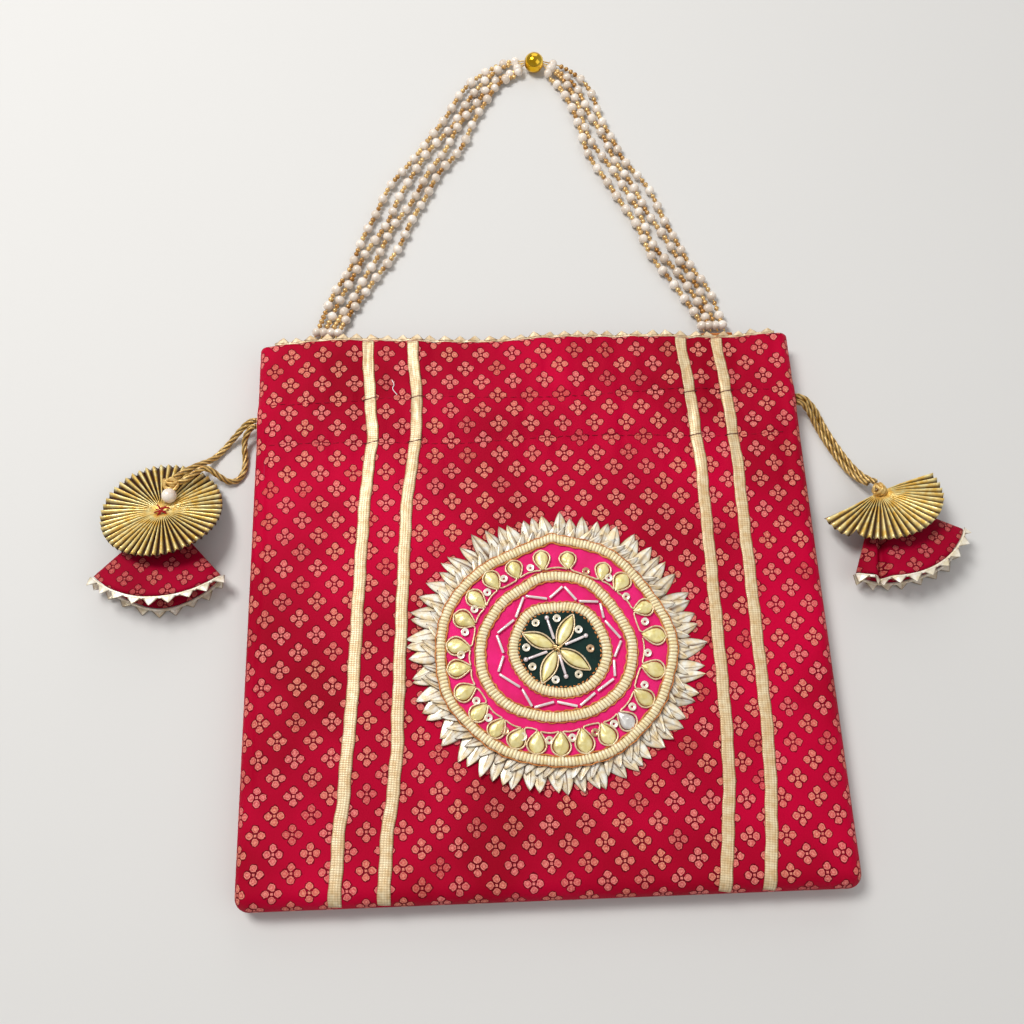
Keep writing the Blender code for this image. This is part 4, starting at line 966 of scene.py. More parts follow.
def braid_grid(line, width, height, pitch, low, seed):
    """A ribbed braid couched in a ring: each rib is a small bulge across it."""
    rng = np.random.default_rng(seed)
    ribs = round(2 * math.pi * float(np.mean(PATCH_LINES[line])) * MM / pitch)
    angle = full_turn(ribs * 6)[:, None]
    turn = full_turn(16)[None, :]
    rib = np.abs(np.sin(angle * ribs / 2))
    swell = np.repeat(rng.uniform(0.8, 1.12, ribs), 6)[:, None]
    lean = np.repeat(rng.normal(0, 0.00009, ribs), 6)[:, None]
    ridge = 0.72 + 0.28 * rib * swell
    across = ring_middle(line, angle) + lean * rib + (width / 2) * (0.94 + 0.06 * rib * swell) * np.cos(turn)
    high = np.abs(np.sin(turn)) ** 0.55 * ridge
    grid = polar(across, angle + 0 * turn, 0 * across)
    grid[..., 2] = low + height * np.where(np.sin(turn) > 0, high, 0.02 * np.sin(turn))
    # Painted shade in the hollows between the ribs and along both sides, where the braid meets the cloth.
    groove = np.clip(1.0 - 1.9 * rib, 0, 0.85) * np.ones_like(turn)
    return grid, np.maximum(groove, 0.4 * (np.abs(np.cos(turn)) > 0.93) * np.ones_like(angle))


def ring_middle(line, angle):
    """Middle of a braid ring; the outer one peaks where its two ends meet at the top."""
    peak = 0.0009 * np.exp(-((np.asarray(angle) - math.pi / 2) / 0.07) ** 2) if line == "outer" else 0.0
    return patch_line(line, angle) + peak


class POTLI_OT_braids(bpy.types.Operator):
    """Lay the patch's raw silk disc and couch its three braid rings"""
    bl_idname = "potli.braids"
    bl_label = "Couch braids"

    def execute(self, context):
        patch_disc("raw_silk_disc", "outer", 0.0012, SILK_Z, "raw_silk", "hot_pink_raw_silk", "patch_base")
        turn = full_turn(300)
        for name, width, pitch, seed in (("outer", 0.0033, 0.00125, 3), ("middle", 0.0036, 0.00125, 5),
                                         ("inner", 0.0036, 0.0012, 8)):
            grid, groove = braid_grid(name, width, 0.0015, pitch, TOP - 0.0003, seed)
            make(f"braid_{name}", [grid], "braid", "bag", "pale_gota", f"braid_ring_{name}", wrap=(True, True),
                 groove=groove.ravel())
            threads = []
            rng = np.random.default_rng(seed)
            for way, radius in ((-1, 0.00032), (1, 0.00022)):
                reach = (ring_middle(name, turn) + way * (width / 2 + 0.00018)
                         + 0.00018 * np.sin(turn * 43 + seed)
                         + rng.normal(0, 0.00005, len(turn)))
                threads.append(tube_ring(polar(reach, turn, TOP + 0.00012 + 0.00014 * np.sin(turn * 57)),
                                         radius))
            make(f"braid_edge_{name}", threads, "orange_thread", "bag", "bound_thread", wrap=(True, True))
        return {"FINISHED"}


def patch_disc(name, line, inside, height, cover, slot, node):
    """A disc of cloth that ends under a braid ring."""
    share = np.array([0.0, 0.15, 0.3, 0.5, 0.7, 0.85, 0.94, 0.99, 1.0, 1.0])[:, None]
    drop = np.array([0, 0, 0, 0, 0, 0, 0, 0.0001, 0.0003, 0.0006])[:, None]
    angle = full_turn(120)[None, :]
    grid = polar(share * (patch_line(line, angle) + inside), angle + 0 * share, 0 * share)
    grid[..., 2] = height - drop
    piece = sheets(name, [grid], finish(cover), wrap=(False, True))
    if piece.data.polygons[0].normal.z < 0:
        piece.data.flip_normals()
    return carry(piece, "bag", slot, node)


def tube_ring(path, radius, sides=7):
    """A closed loop of thread."""
    ahead = unit(np.roll(path, -1, axis=0) - np.roll(path, 1, axis=0))
    side = unit(np.cross(ahead, (0.0, 0.0, 1.0)))
    over = np.cross(side, ahead)
    angle = full_turn(sides)[None, :, None]
    return path[:, None, :] + radius * (side[:, None, :] * np.cos(angle) + over[:, None, :] * np.sin(angle))


def drop_outline(half, count):
    """Half width of a drop at shares of its length, point first."""
    s = np.linspace(0, 1, count)
    return s, half * np.sin(math.pi * s ** 1.5) ** 0.62


class POTLI_OT_drops(bpy.types.Operator):
    """Set the garland of foil drops with its looping cord and sequins"""
    bl_idname = "potli.drops"
    bl_label = "Set drops"

    def execute(self, context):
        rng = np.random.default_rng(23)
        drops, cord = [], []
        for i, (blunt_at, point_at, inner, outer) in enumerate(FOIL_DROPS):
            point, blunt = on_patch(point_at, inner), on_patch(blunt_at, outer)
            length = float(np.linalg.norm(blunt - point))
            way = (blunt - point) / length
            cross = np.array([-way[1], way[0]])
            half = 0.0030 * rng.uniform(0.92, 1.05) * min(1.0, 0.4 + 0.6 * length / 0.0082)
            s, wide = drop_outline(half, 13)
            s, wide, t = s[:, None], wide[:, None], np.linspace(-1, 1, 11)
            crown = (1 - t ** 2) * np.sin(math.pi * (0.08 + 0.84 * s))
            dent = 0.00014 * rng.normal(0, 1, crown.shape) * (crown > 0.15)
            flat = point + (length * s + 0 * t)[..., None] * way + (wide * t)[..., None] * cross
            height = TOP + 0.00005 + 0.0010 * crown ** 0.75 + dent
            # Painted shade along the drop's sides, where the padded foil curves down, and a random tone for each
            # drop.
            groove = np.clip(0.9 * np.abs(t) ** 8 + 0 * s + 0.25 * rng.uniform(), 0, 1)
            drops.append((np.concatenate([flat, height[..., None]], axis=-1), groove.ravel()))
            # The cord goes round the drop, then in a shallow loop to the next one's point
            rim, rim_wide = drop_outline(half + 0.00042, 12)
            along = point + (-0.0003 + (length + 0.0006) * rim)[:, None] * way
            left, right = along + rim_wide[:, None] * cross, along - rim_wide[:, None] * cross
            cord += [(x, y, TOP + 0.00045) for x, y in np.vstack([right[1:], left[::-1][:-1]])]
            following = FOIL_DROPS[(i + 1) % len(FOIL_DROPS)]
            step = (following[1] - point_at) % 360
            for k in np.linspace(0.14, 0.86, 9):
                reach = (inner + (following[2] - inner) * k
                         + 0.55 * math.sin(math.pi * k) * (1 if i % 3 else -1))
                cord.append(tuple(on_patch(point_at + step * k, reach, TOP + 0.0004)))
        silver = drops.pop(SILVER_DROP)
        for name, group, cover, *node in (("foil_drops", drops, "foil", "drop_garland"),
                                          ("foil_drop_silver", [silver], "silver_foil")):
            grids, grooves = zip(*group)
            make(name, grids, cover, "bag", "gold_foil", *node, thickness=0.00015,
                 groove=np.concatenate(grooves))
        grid = tube_grid(smooth_line(np.array(cord), 0.00028), **COUCHED)
        make("couched_cord", [grid], "couched_cord", "bag", "twisted_zari", wrap=(False, True))
        for name, listed, cover in (("sequins_white", OUTER_SEQUINS + INNER_SEQUINS, "sequin"),
                                    ("sequins_gold", GOLD_SEQUINS, "gold_sequin")):
            rings = [sequin_grid(on_patch(degrees, radius, TOP + 0.0003 if radius > VELVET_REACH else PETAL_Z),
                                 rng)
                     for degrees, radius in listed]
            make(name, rings, cover, "bag", "silver_bugle", wrap=(True, True))
        return {"FINISHED"}


def sequin_grid(centre, rng):
    """A cupped sequin: a small dished ring with a hole for its stitch."""
    profile = [(0.00040, 0.00000), (0.00075, 0.00008), (0.00120, 0.00030), (0.00145, 0.00034),
               (0.00147, 0.00042), (0.00118, 0.00040), (0.00075, 0.00020), (0.00040, 0.00010)]
    tip = Vector((rng.uniform(-0.12, 0.12), rng.uniform(-0.12, 0.12), 1.0)).normalized()
    return np.swapaxes(turned_grid(profile, centre, tip, 20), 0, 1)


def bugle_grid(a, b, radius):
    """A cut glass tube between two points, open at its ends."""
    a, b = np.asarray(a, dtype=float), np.asarray(b, dtype=float)
    length = float(np.linalg.norm(b - a))
    profile = [(radius * 0.45, 0.0), (radius * 0.9, 0.0), (radius, radius * 0.25),
               (radius, length - radius * 0.25), (radius * 0.9, length), (radius * 0.45, length)]
    grid = turned_grid(profile, (0, 0, 0), tuple((b - a) / length), 10)
    return np.swapaxes(grid + a, 0, 1)


class POTLI_OT_star(bpy.types.Operator):
    """String the bugle star, and work the green centre and its flower"""
    bl_idname = "potli.star"
    bl_label = "String star"

    def execute(self, context):
        places = [on_patch(degrees, radius, TOP + 0.0006) for degrees, radius in STAR]
        bugles = []
        for a, b in zip(places, places[1:] + places[:1]):
            way = unit(b - a)
            bugles.append(bugle_grid(a + way * 0.0006, b - way * 0.0006, 0.00050))
        make("bugle_star_beads", bugles, "bugle", "bag", "silver_bugle", "bugle_star", wrap=(True, True))
        patch_disc("velvet_centre", "inner", -0.0010, VELVET_Z, "velvet", "dark_green_velvet", "green_centre")
        self.flower()
        self.spokes()
        self.knot()
        return {"FINISHED"}

    def flower(self):
        """Four padded petals, each with a cord couched round it."""
        petals, grooves, rims = [], [], []
        s = np.linspace(0, 1, 12)[:, None]
        t = np.linspace(-1, 1, 9)[None, :]
        wide = 0.0023 * np.sin(math.pi * (0.05 + 0.95 * s)) ** 0.9
        z = PETAL_Z + 0.0009 * (1 - t ** 2) * np.sin(math.pi * (0.1 + 0.8 * s))
        for degrees, reach in FLOWER:
            length = (reach - 1.6) * MM
            radial, cross = ways(math.radians(degrees))
            flat = (0.0014 + length * s + 0 * t)[..., None] * radial + (wide * t)[..., None] * cross
            petals.append(np.stack([PATCH[0] + flat[..., 0], PATCH[1] + flat[..., 1], z], axis=-1))
            # Painted shade along each petal's sides, where the padding curves down.
            grooves.append(np.clip(0.8 * np.abs(t) ** 7 + 0 * s, 0, 1).ravel())
            along = 0.0012 + (length + 0.0006) * s[:, 0]
            across = 1.12 * wide[:, 0] + 0.0002
            edge = np.vstack([np.stack([along, across], axis=-1), np.stack([along, -across], axis=-1)[::-1]])
            where = np.array(PATCH) + edge[:, :1] * radial + edge[:, 1:] * cross
            path = np.column_stack([where, np.full(len(where), PETAL_Z + 0.0002)])
            rims.append(tube_grid(smooth_line(path, 0.0004), **{**COUCHED, "radius": 0.00032}))
        make("flower_petals", petals, "foil", "bag", "gold_foil", "centre_flower", thickness=0.00015,
             groove=np.concatenate(grooves))
        make("flower_outline", rims, "couched_cord", "bag", "twisted_zari", wrap=(False, True))

    def spokes(self):
        """A bugle bead between each two petals, with a round bead at its end."""
        tubes, ends = [], []
        for degrees, reach in SPOKES:
            way = np.array([*ways(math.radians(degrees))[0], 0.0])
            hub = np.array([*PATCH, 0.0167])
            tubes.append(bugle_grid(hub + way * (reach - 8.2) * MM, hub + way * (reach - 0.9) * MM, 0.00052))
            ends.append(ball_grid(hub + way * reach * MM, 0.0009, way, 0.0003, 6, 10))
        make("flower_spokes", tubes, "bugle", "bag", "silver_bugle", wrap=(True, True))
        make("spoke_seed_beads", ends, "bugle", "bag", "silver_bugle", wrap=(False, True))

    def knot(self):
        """A heap of small loops of gold thread over the flower's middle."""
        rng = np.random.default_rng(5)
        loops = []
        turn = full_turn(14)
        for _ in range(7):
            a = rng.uniform(0, 6.3)
            r = rng.uniform(0.0002, 0.0010)
            centre = np.array([PATCH[0] + r * math.cos(a), PATCH[1] + r * math.sin(a), 0.0171])
            ring = np.stack([np.cos(turn) * math.cos(a), np.cos(turn) * math.sin(a), 0.5 * np.sin(turn)],
                            axis=-1)
            twist = np.stack([np.sin(turn), np.cos(turn), 0 * turn], axis=-1)
            loops.append(tube_ring(centre + 0.0009 * ring + 0.0003 * twist, 0.00025, 6))
        make("flower_knot", loops, "seed", "bag", "twisted_zari", wrap=(True, True))


def handle_path():
    """The handle's middle line, and how far along it each point lies."""
    left, right = HANDLE_ENDS
    keys = [(left + share * (right - left), HINGE_Y + height) for share, height in HANDLE_ROUTE]
    points = smooth_line(keys, 0.0008)
    return points, distances(points)


def ease(value):
    value = np.clip(value, 0.0, 1.0)
    return value * value * (3 - 2 * value)


def strand_line(points, along, distance, index, bead_at, spacing):
    """Points of one handle strand at distances along the handle."""
    distance = np.asarray(distance, dtype=float)
    x, y = (np.interp(distance, along, points[:, k]) for k in (0, 1))
    dx, dy = (np.interp(distance + 0.001, along, points[:, k])
              - np.interp(distance - 0.001, along, points[:, k])
              for k in (0, 1))
    end = np.minimum(distance, along[-1] - distance)
    side = unit(np.stack([-dy, dx * ease(end / 0.018)], axis=-1))
    # The strands spread between the gold bead, where they run close, and the mouth
    from_bead = np.abs(distance - bead_at)
    spread = ease((from_bead - GOLD_BEAD_RADIUS) / 0.0068)
    near = np.clip((from_bead - 0.010) / 0.05, 0, 1)
    tight = (index // 2 - 0.5) * 0.0012
    belly = 0.70 + 0.30 * near + 0.22 * bump(distance, 0.075, 0.030) * near
    wide = (index - 1.5) * spacing * (0.66 + 0.34 * ease(end / 0.045)) * belly
    sway = 0.0007 * np.sin(distance * 96 + 2.4 * index) + 0.0004 * np.sin(distance * 210 + 1.1 * index * index)
    wide = wide + sway * ease(end / 0.03)
    across = tight + (wide - tight) * spread
    rest = HINGE_Z + (REST_Z - HINGE_Z) * ease(end / 0.018)
    threaded = GOLD_BEAD_RADIUS + 0.0002 + (index % 2 - 0.5) * 0.0012
    z = threaded + (rest - threaded) * spread
    return np.column_stack([x + side[:, 0] * across, y + side[:, 1] * across, z])


class POTLI_OT_handle(bpy.types.Operator):
    """String the four bead strands through the gold bead"""
    bl_idname = "potli.handle"
    bl_label = "String handle"

    def execute(self, context):
        sizes = context.scene.potli_sizes
        rng = np.random.default_rng(77)
        points, along = handle_path()
        left, right = HANDLE_ENDS
        bead_x = left + GOLD_BEAD_SHARE * (right - left)
        bead_at = float(np.interp(bead_x, points[:, 0], along))
        clear = GOLD_BEAD_RADIUS + 0.0036
        spans = ((0.0034, bead_at - clear), (bead_at + clear, along[-1] - 0.0034))
        for index in range(4):
            def at(distance, index=index):
                return strand_line(points, along, np.atleast_1d(distance), index, bead_at, sizes.strand_spacing)
            pearls, seeds = self.beads(at, spans, index, sizes, rng)
            number = index + 1
            make(f"pearls_{number}", pearls, "pearl", "handle", "pearl_white", f"bead_strand_{number}",
                 wrap=(False, True))
            make(f"seed_beads_{number}", seeds, "seed", "handle", "bright_gold", wrap=(False, True))
            grid = tube_grid(at(np.arange(0.0, along[-1], 0.0016)), 0.00030, 6)
            make(f"strand_thread_{number}", [grid], "zari", "handle", "bound_thread", wrap=(False, True))
        self.gold_bead(bead_x, float(np.interp(bead_x, points[:, 0], points[:, 1])))
        self.bindings(rng)
        return {"FINISHED"}

    def beads(self, at, spans, index, sizes, rng):
        """Pearls at an even pitch, with seed beads that fill the gap between each two."""
        pearls, seeds = [], []

        def threaded(place):
            before, middle, after = at([place - 0.0005, place, place + 0.0005])
            return middle, unit(after - before)
        for start, end in spans:
            count = round((end - start) / sizes.pearl_pitch)
            pitch = (end - start) / count
            shift = (index % 2) * 0.45 * pitch
            places = [start + i * pitch + shift * rng.uniform(0.9, 1.1) for i in range(1, count)]
            places = [start, *places, end]
            for i, place in enumerate(places):
                middle, way = threaded(place)
                radius = sizes.pearl / 2 * rng.uniform(0.93, 1.03)
                pearls.append(ball_grid(middle, radius, way, 0.0004, 10, 16, rng.uniform(0.92, 1.0)))
                if i == count:
                    continue
                room = places[i + 1] - place - sizes.pearl
                filled = max(1, round(room / 0.0020))
                for k in range(filled):
                    middle, way = threaded(place + sizes.pearl / 2 + (k + 0.5) * room / filled)
                    seeds.append(ball_grid(middle, 0.00112 * rng.uniform(0.9, 1.05), way, 0.0003, 7, 12, 0.92))
        return pearls, seeds

    def gold_bead(self, x, y):
        """A hollow bead with a hole wide enough for the four strands."""
        hole = math.asin(0.0019 / GOLD_BEAD_RADIUS)
        profile = [(GOLD_BEAD_RADIUS * math.sin(a), GOLD_BEAD_RADIUS * math.cos(a))
                   for a in np.linspace(hole, math.pi - hole, 17)]
        profile += [(0.0017, profile[-1][1] * 0.9), (0.0017, profile[0][1] * 0.9)]
        grid = np.swapaxes(turned_grid(profile, (x, y, GOLD_BEAD_RADIUS + 0.00022), (1, 0, 0), 32), 0, 1)
        make("gold_bead_shell", [grid], "gold", "handle", "bright_gold", "gold_bead", wrap=(True, True))

    def bindings(self, rng):
        """The turns of thread that sew each end of the handle to the mouth."""
        a = full_turn(44)
        for side in ("left", "right"):
            node = f"handle_anchor_{side}"
            low, high = (np.array(v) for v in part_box(node))
            middle, half = (low + high) / 2, (high - low) / 2
            turns = []
            for y in np.arange(low[1] + 0.0004, high[1] - 0.0003, 0.00075):
                x = (np.sign(np.cos(a)) * np.abs(np.cos(a)) ** 0.35 * (half[0] - 0.0003)
                     * rng.uniform(0.975, 1.0))
                z = np.sign(np.sin(a)) * np.abs(np.sin(a)) ** 0.35 * max(half[2] - 0.0003, 0.0002)
                path = np.column_stack([middle[0] + x, y + 0.00025 * np.cos(a), middle[2] + z])
                turns.append(tube_ring_any(path, 0.0004))
            make(f"anchor_binding_{side}", turns, "orange_thread", "bag", "bound_thread", node,
                 wrap=(True, True))


def cord_route(side, offsets):
    """The same route that the frame's strand has."""
    y = EXIT_Y["left" if side < 0 else "right"]
    start = side * EXIT_X
    keys = [(start + dx, y + dy, z) for dx, dy, z in offsets]
    straight = (start + side * CORD / 2, *keys[0][1:])
    return np.vstack([np.linspace(keys[0], straight, 4)[:-1], smooth_line([straight, *keys[1:]], 0.00028)])


def wrapped_knot(centre, radius, seed, turns=6):
    """An overhand knot: a few turns of the cord wound over each other."""
    rng = np.random.default_rng(seed)
    grids = []
    loop = full_turn(40)
    for _ in range(turns):
        tip = Vector(rng.normal(0, 1, 3)).normalized()
        spin = np.array(Vector((0, 0, 1)).rotation_difference(tip).to_matrix())
        ring = np.stack([np.cos(loop), 0.8 * np.sin(loop), 0.3 * np.sin(2 * loop)], axis=-1) @ spin.T
        grids.append(tube_ring_any(np.asarray(centre) + ring * (radius - 0.0007) * rng.uniform(0.8, 1.1),
                                   0.0007))
    return grids


def tube_ring_any(path, radius, sides=10):
    """A closed loop of cord that may stand at any angle."""
    ahead = unit(np.roll(path, -1, axis=0) - np.roll(path, 1, axis=0))
    out = path - path.mean(axis=0)
    out = unit(out - ahead * np.sum(out * ahead, axis=1)[:, None])
    over = np.cross(out, ahead)
    angle = full_turn(sides)[None, :, None]
    ply = 0.72 + 0.28 * np.abs(np.cos(angle + 8 * math.pi * np.arange(len(path))[:, None, None] / len(path)))
    return path[:, None, :] + radius * ply * (out[:, None, :] * np.cos(angle)
                                              + over[:, None, :] * np.sin(angle))


class POTLI_OT_tassels(bpy.types.Operator):
    """Pleat the rosettes, sew the cones and hang them on the drawstrings"""
    bl_idname = "potli.tassels"
    bl_label = "Make tassels"

    def execute(self, context):
        sizes = context.scene.potli_sizes
        made = {key: [self.cone(key)] for key in TASSELS}
        for key in TASSELS:
            made[key].append(self.hem(key, 0.95 * sizes.tooth))
        made["left"].append(self.pleated("rosette_pleats", "left", 0, 360, sizes.pleats, "rosette_left"))
        made["right"].append(self.pleated("fan_pleats", "right", -90, 90, sizes.pleats // 2, "fan_right"))
        for seed, (key, centre) in enumerate(KNOTS.items(), 3):
            made[key].append(make(f"knot_turns_{key}", wrapped_knot(centre, KNOT_RADIUS, seed), "zari",
                                  f"drawstring_{key}", "twisted_zari", f"knot_{key}", wrap=(True, True)))
        pearl = ball_grid(TASSEL_PEARL, 0.0029, (0.3, 1, 0.1), 0.0005, 12, 22)
        made["left"].append(make("tassel_pearl", [pearl], "pearl", "drawstring_left", "pearl_white",
                                 "tassel_pearl_left", wrap=(False, True)))
        made["left"].append(self.centre_stitches())
        # The plies bulge past the cord's own diameter, and their valleys lie inside it
        outer = 1.12 * CORD / 2
        for name, (side, offsets) in CORD_ROUTES.items():
            path = cord_route(side, offsets)
            key = "left" if side < 0 else "right"
            grid = tube_grid(path, outer, 20, lobes=4, pitch=0.0034, depth=0.42)
            # The valleys between the plies are darkened: painted shade.
            deep = 1 - np.linalg.norm(grid - grid.mean(axis=1, keepdims=True), axis=2) / outer
            piece = make(name + "_cord", [grid], "zari", f"drawstring_{key}", "twisted_zari", name,
                         wrap=(False, True), groove=np.clip(2.6 * deep, 0, 1).ravel())
            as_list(made[key] if name.endswith("_a") else [])
        for name in ("drawstring_left_loop", "drawstring_right_loop"):
            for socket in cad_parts[name].material_slots:
                socket.material = finish("zari")
        return {"FINISHED"}

    def droop(self, key, turn, share=1.0):
        """Height of a cone's upper layer: it sinks in soft waves, and deeply along its fold."""
        phase, place, width, depth, sharpness = CONE_FOLDS[key]
        fold = np.exp(-((turn - math.radians(place)) / width) ** 2)
        return 1 - 0.10 * share * (1 + np.sin(3 * turn + phase)) / 2 - depth * fold * share ** sharpness

    def fall(self, key, turn):
        """How much further the cone reaches where its lower layer hangs out."""
        place, share = CONE_FALLS[key]
        return share * np.exp(-((turn - math.radians(place)) / 0.42) ** 2)

    def cone(self, key):
        reach = np.linspace(CONE_APEX, CONE_SLANT, 22)[:, None]
        turn = full_turn(120)
        share = (reach - CONE_APEX) / (CONE_SLANT - CONE_APEX)
        angle = math.radians(HEADINGS[key]) - math.radians(CONE_HALF_ANGLE) * np.cos(turn)
        height = APEX_HALF_HEIGHT + share * (HEM_HALF_HEIGHT - APEX_HALF_HEIGHT)
        lift = np.sin(turn)
        z = (APEX_Z + share * (HEM_Z - APEX_Z)
             + height * lift * np.where(lift > 0, self.droop(key, turn, share), 1.0))
        out = (1 + share * self.fall(key, turn)) * reach
        x, y = (middle + out * way(angle) for middle, way in zip(TASSELS[key], (np.cos, np.sin)))
        # Each layer and each cone is cut from its own part of the cloth
        flat = 1.15 * reach[..., None] * np.stack([np.cos(angle), np.sin(angle), 0 * angle], axis=-1)
        flat = flat + (0.0 if key == "left" else 0.004)
        flat[..., 0] += np.where(lift < 0, 0.03, 0.0)
        return make(f"cone_cloth_{key}", [np.stack([x, y, z], axis=-1)], "shaded_brocade", f"drawstring_{key}",
                    "crimson_brocade", f"tassel_cone_{key}", wrap=(False, True), thickness=0.0007,
                    flat=flat.reshape(-1, 3))

    def hem(self, key, tooth):
        turn = np.linspace(0, 2 * math.pi, 161)
        angle = math.radians(HEADINGS[key]) - math.radians(CONE_HALF_ANGLE) * np.cos(turn)
        reach = CONE_SLANT * (1 + self.fall(key, turn)) + 0.0004
        lift = np.sin(turn)
        height = (HEM_HALF_HEIGHT - 0.0004) * lift * np.where(lift > 0, self.droop(key, turn), 0.97)
        x, y = TASSELS[key]
        base = np.column_stack([x + reach * np.cos(angle), y + reach * np.sin(angle), HEM_Z + height])
        out = np.column_stack([np.cos(angle), np.sin(angle), 0.05 * lift])
        up = np.column_stack([0.4 * np.cos(turn) * np.sin(angle), -0.4 * np.cos(turn) * np.cos(angle),
                              np.where(lift >= 0, 1.0, -1.0)])
        piece = trim_piece(f"cone_zigzag_{key}", base, out, up, tooth, 0.0062, 31)
        return carry(piece, f"drawstring_{key}", "pale_gota", f"cone_trim_{key}")

    def pleated(self, name, key, start, end, pleats, node):
        """Gold tissue in narrow pleats, opened round from one angle to another."""
        rng = np.random.default_rng(pleats)
        whole = end - start > 359
        fine = 8
        count = pleats * fine
        angle = np.radians(start + (end - start) * np.arange(count + (0 if whole else 1)) / count)
        jitter = np.repeat(rng.uniform(0.75, 1.1, pleats + 1), fine)[:len(angle)]
        phase = np.arange(len(angle)) / fine
        wave = 2 * np.abs(2 * (phase - np.floor(phase + 0.5))) - 1
        reach = np.array([0.0, 0.0016, 0.0035, 0.006, 0.009, 0.012, 0.015, 0.018, 0.0205, 0.0222])
        swell = 0.00105 * np.clip(reach / 0.010, 0.0, 1.0) ** 0.8
        edge = (1.02 if whole else 1.05) + 0.004 * wave + 0.01 * np.sin(3 * angle)
        x = reach[:, None] * np.cos(angle) * edge
        y = reach[:, None] * np.sin(angle) * edge
        z = swell[:, None] * wave * jitter + 0.0012 * (reach[:, None] / 0.022) ** 2 * np.sin(2 * angle + 0.6)
        z = z - 0.0007 * np.exp(-(reach[:, None] / 0.003) ** 2)
        if not whole:
            # The last pleats of the fan are folded under
            lobe = np.clip((math.radians(-58) - angle) / 0.05, 0, 1)
            z = z - 0.0016 * lobe * np.clip(reach[:, None] / 0.010, 0, 1)
            notch = 1 - 0.10 * bump(angle, math.radians(-57), 0.06) + 0.04 * lobe
            x, y = x * notch, y * notch
        # Painted shade in the pleats' valleys, fainter towards the middle.
        valley = np.clip((0.50 if whole else 0.34) - 1.1 * wave * jitter, 0, 1) ** 0.55
        groove = valley * np.clip(reach[:, None] / 0.004, 0.3, 1)
        grid = np.stack([x, y, z], axis=-1)
        spin = Matrix.Rotation(math.radians(HEADINGS[key]), 3, "Z") @ Matrix.Rotation(-math.atan(TILT), 3, "Y")
        grid = grid @ np.array(spin).T + np.array([*TASSELS[key], ROSETTE_Z])
        return make(name, [grid], "pleated", f"drawstring_{key}", "gold_foil", node, wrap=(False, whole),
                    thickness=0.00025, groove=groove.ravel())

    def centre_stitches(self):
        """The crossed red stitches that hold the rosette's middle."""
        rng = np.random.default_rng(9)
        grids = []
        bow = np.linspace(-1, 1, 9)[:, None]
        for _ in range(6):
            a = rng.uniform(0, math.pi)
            spread = np.array([math.cos(a), math.sin(a), 0.0])
            centre = np.array([*TASSELS["left"], ROSETTE_Z + 0.0008]) + rng.normal(0, 0.0005, 3) * (1, 1, 0)
            path = centre + spread * bow * 0.0021 + np.array([0, 0, 1]) * (0.0007 * (1 - bow ** 2))
            grids.append(tube_grid(path, 0.00028, 6))
        return make("rosette_stitches", grids, "red_thread", "drawstring_left", "bound_thread",
                    wrap=(False, True))


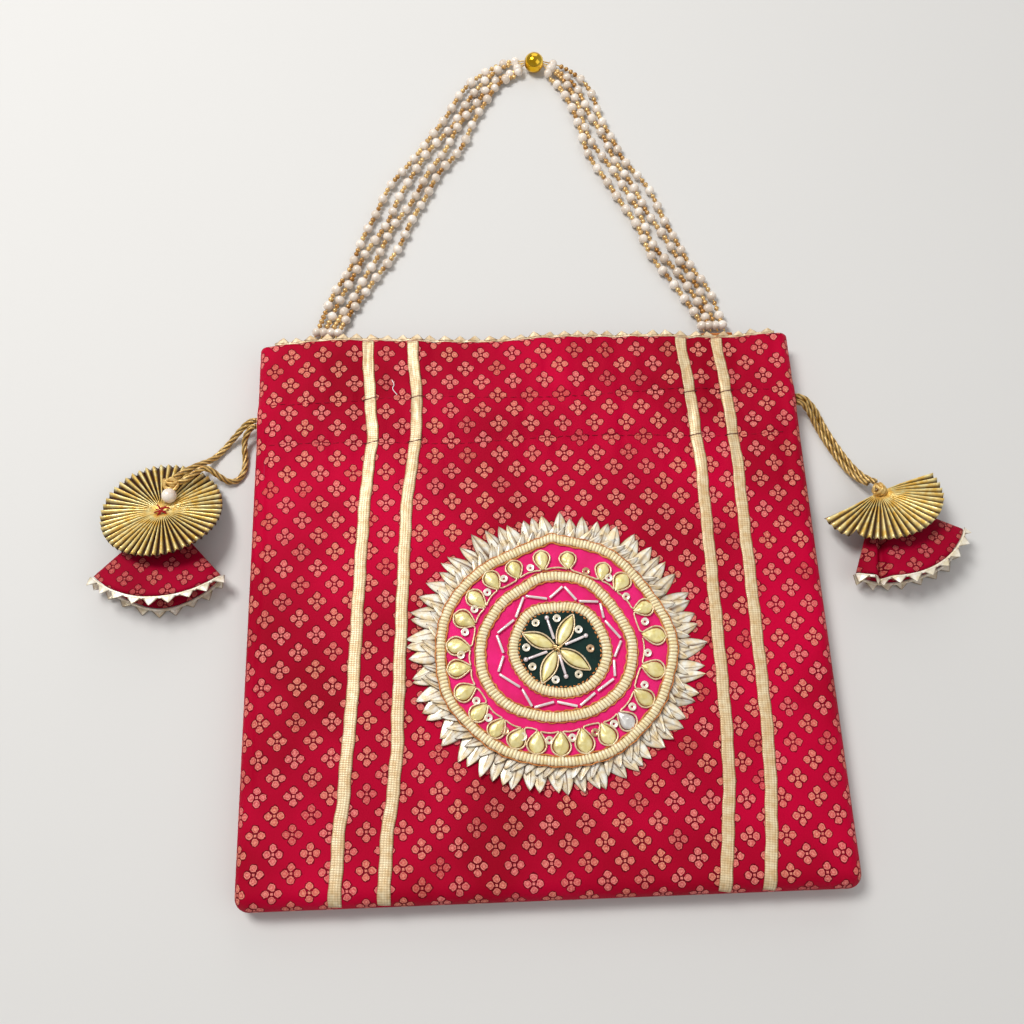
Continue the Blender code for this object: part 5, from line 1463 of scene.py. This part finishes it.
class POTLI_OT_stage(bpy.types.Operator):
    """Set the floor, the lights and the camera"""
    bl_idname = "potli.stage"
    bl_label = "Set stage"

    def execute(self, context):
        scene = context.scene
        recipe = Recipe("studio_floor_matt_paper", Roughness=0.9, Specular_IOR_Level=0.2)
        place = recipe.add("TexCoord").outputs["Object"]
        colour = scene.potli_colours.floor
        tone = recipe.blend(recipe.noise(place, 6.0, 3.0), [c * 0.98 for c in colour] + [1.0], [*colour, 1.0])
        corners = np.array([[(-3, -3, 0), (3, -3, 0)], [(-3, 3, 0), (3, 3, 0)]], dtype=float)
        floor = sheets("studio_floor", [corners], recipe.dress(tone))
        for name, place, size, power in LAMPS:
            lamp = bpy.data.lights.new(name, "AREA")
            lamp.size = size
            lamp.energy = power
            item = bpy.data.objects.new(name, lamp)
            item.location = place
            item.rotation_euler = (-Vector(place)).to_track_quat("-Z", "Y").to_euler()
            scene.collection.objects.link(item)
        world = bpy.data.worlds.new("studio")
        scene.world = world
        world.use_nodes = True
        background = world.node_tree.nodes["Background"].inputs
        background["Color"].default_value = linear(WORLD_COLOUR)
        background["Strength"].default_value = WORLD_STRENGTH
        about_x, about_y, about_z = (Matrix.Rotation(math.radians(angle), 3, axis)
                                     for angle, axis in zip(CAMERA_TURN, "XYZ"))
        turn = about_z @ about_y @ about_x
        lens = bpy.data.cameras.new("photograph_view")
        lens.sensor_width = 36.0
        lens.lens = LENS_MM
        lens.clip_start = 0.01
        camera = bpy.data.objects.new("photograph_view", lens)
        back = turn.transposed()
        camera.matrix_world = Matrix.Translation(-(back @ Vector(CAMERA_SHIFT)) * MM) @ back.to_4x4()
        scene.collection.objects.link(camera)
        scene.camera = camera
        scene.view_settings.view_transform = "Standard"
        return {"FINISHED"}


class POTLI_PT_panel(bpy.types.Panel):
    """Lists the bag's pieces in the order they are made"""
    bl_label = "Potli bag"
    bl_idname = "POTLI_PT_panel"
    bl_space_type = "VIEW_3D"
    bl_region_type = "UI"
    bl_category = "Potli"

    def draw(self, context):
        for group in (context.scene.potli_sizes, context.scene.potli_colours):
            for name in group.__annotations__:
                self.layout.prop(group, name)
        for step in STEPS:
            self.layout.operator(step.bl_idname)


STEPS = (POTLI_OT_stage, POTLI_OT_tassels, POTLI_OT_panels, POTLI_OT_lining, POTLI_OT_stitches, POTLI_OT_ribbons,
         POTLI_OT_mouth_trim, POTLI_OT_fringe, POTLI_OT_braids, POTLI_OT_drops, POTLI_OT_star, POTLI_OT_handle)
GROUPS = (PotliSizes, PotliColours)


def register():
    for item in (*GROUPS, *STEPS, POTLI_PT_panel):
        bpy.utils.register_class(item)
    bpy.types.Scene.potli_sizes = PointerProperty(type=PotliSizes)
    bpy.types.Scene.potli_colours = PointerProperty(type=PotliColours)


def unregister():
    del bpy.types.Scene.potli_colours
    del bpy.types.Scene.potli_sizes
    for item in reversed((*GROUPS, *STEPS, POTLI_PT_panel)):
        bpy.utils.unregister_class(item)


def main():
    register()
    for step in STEPS:
        family, name = step.bl_idname.split(".")
        getattr(getattr(bpy.ops, family), name)()
    bpy.context.view_layer.update()


if __name__ == "__main__":
    main()
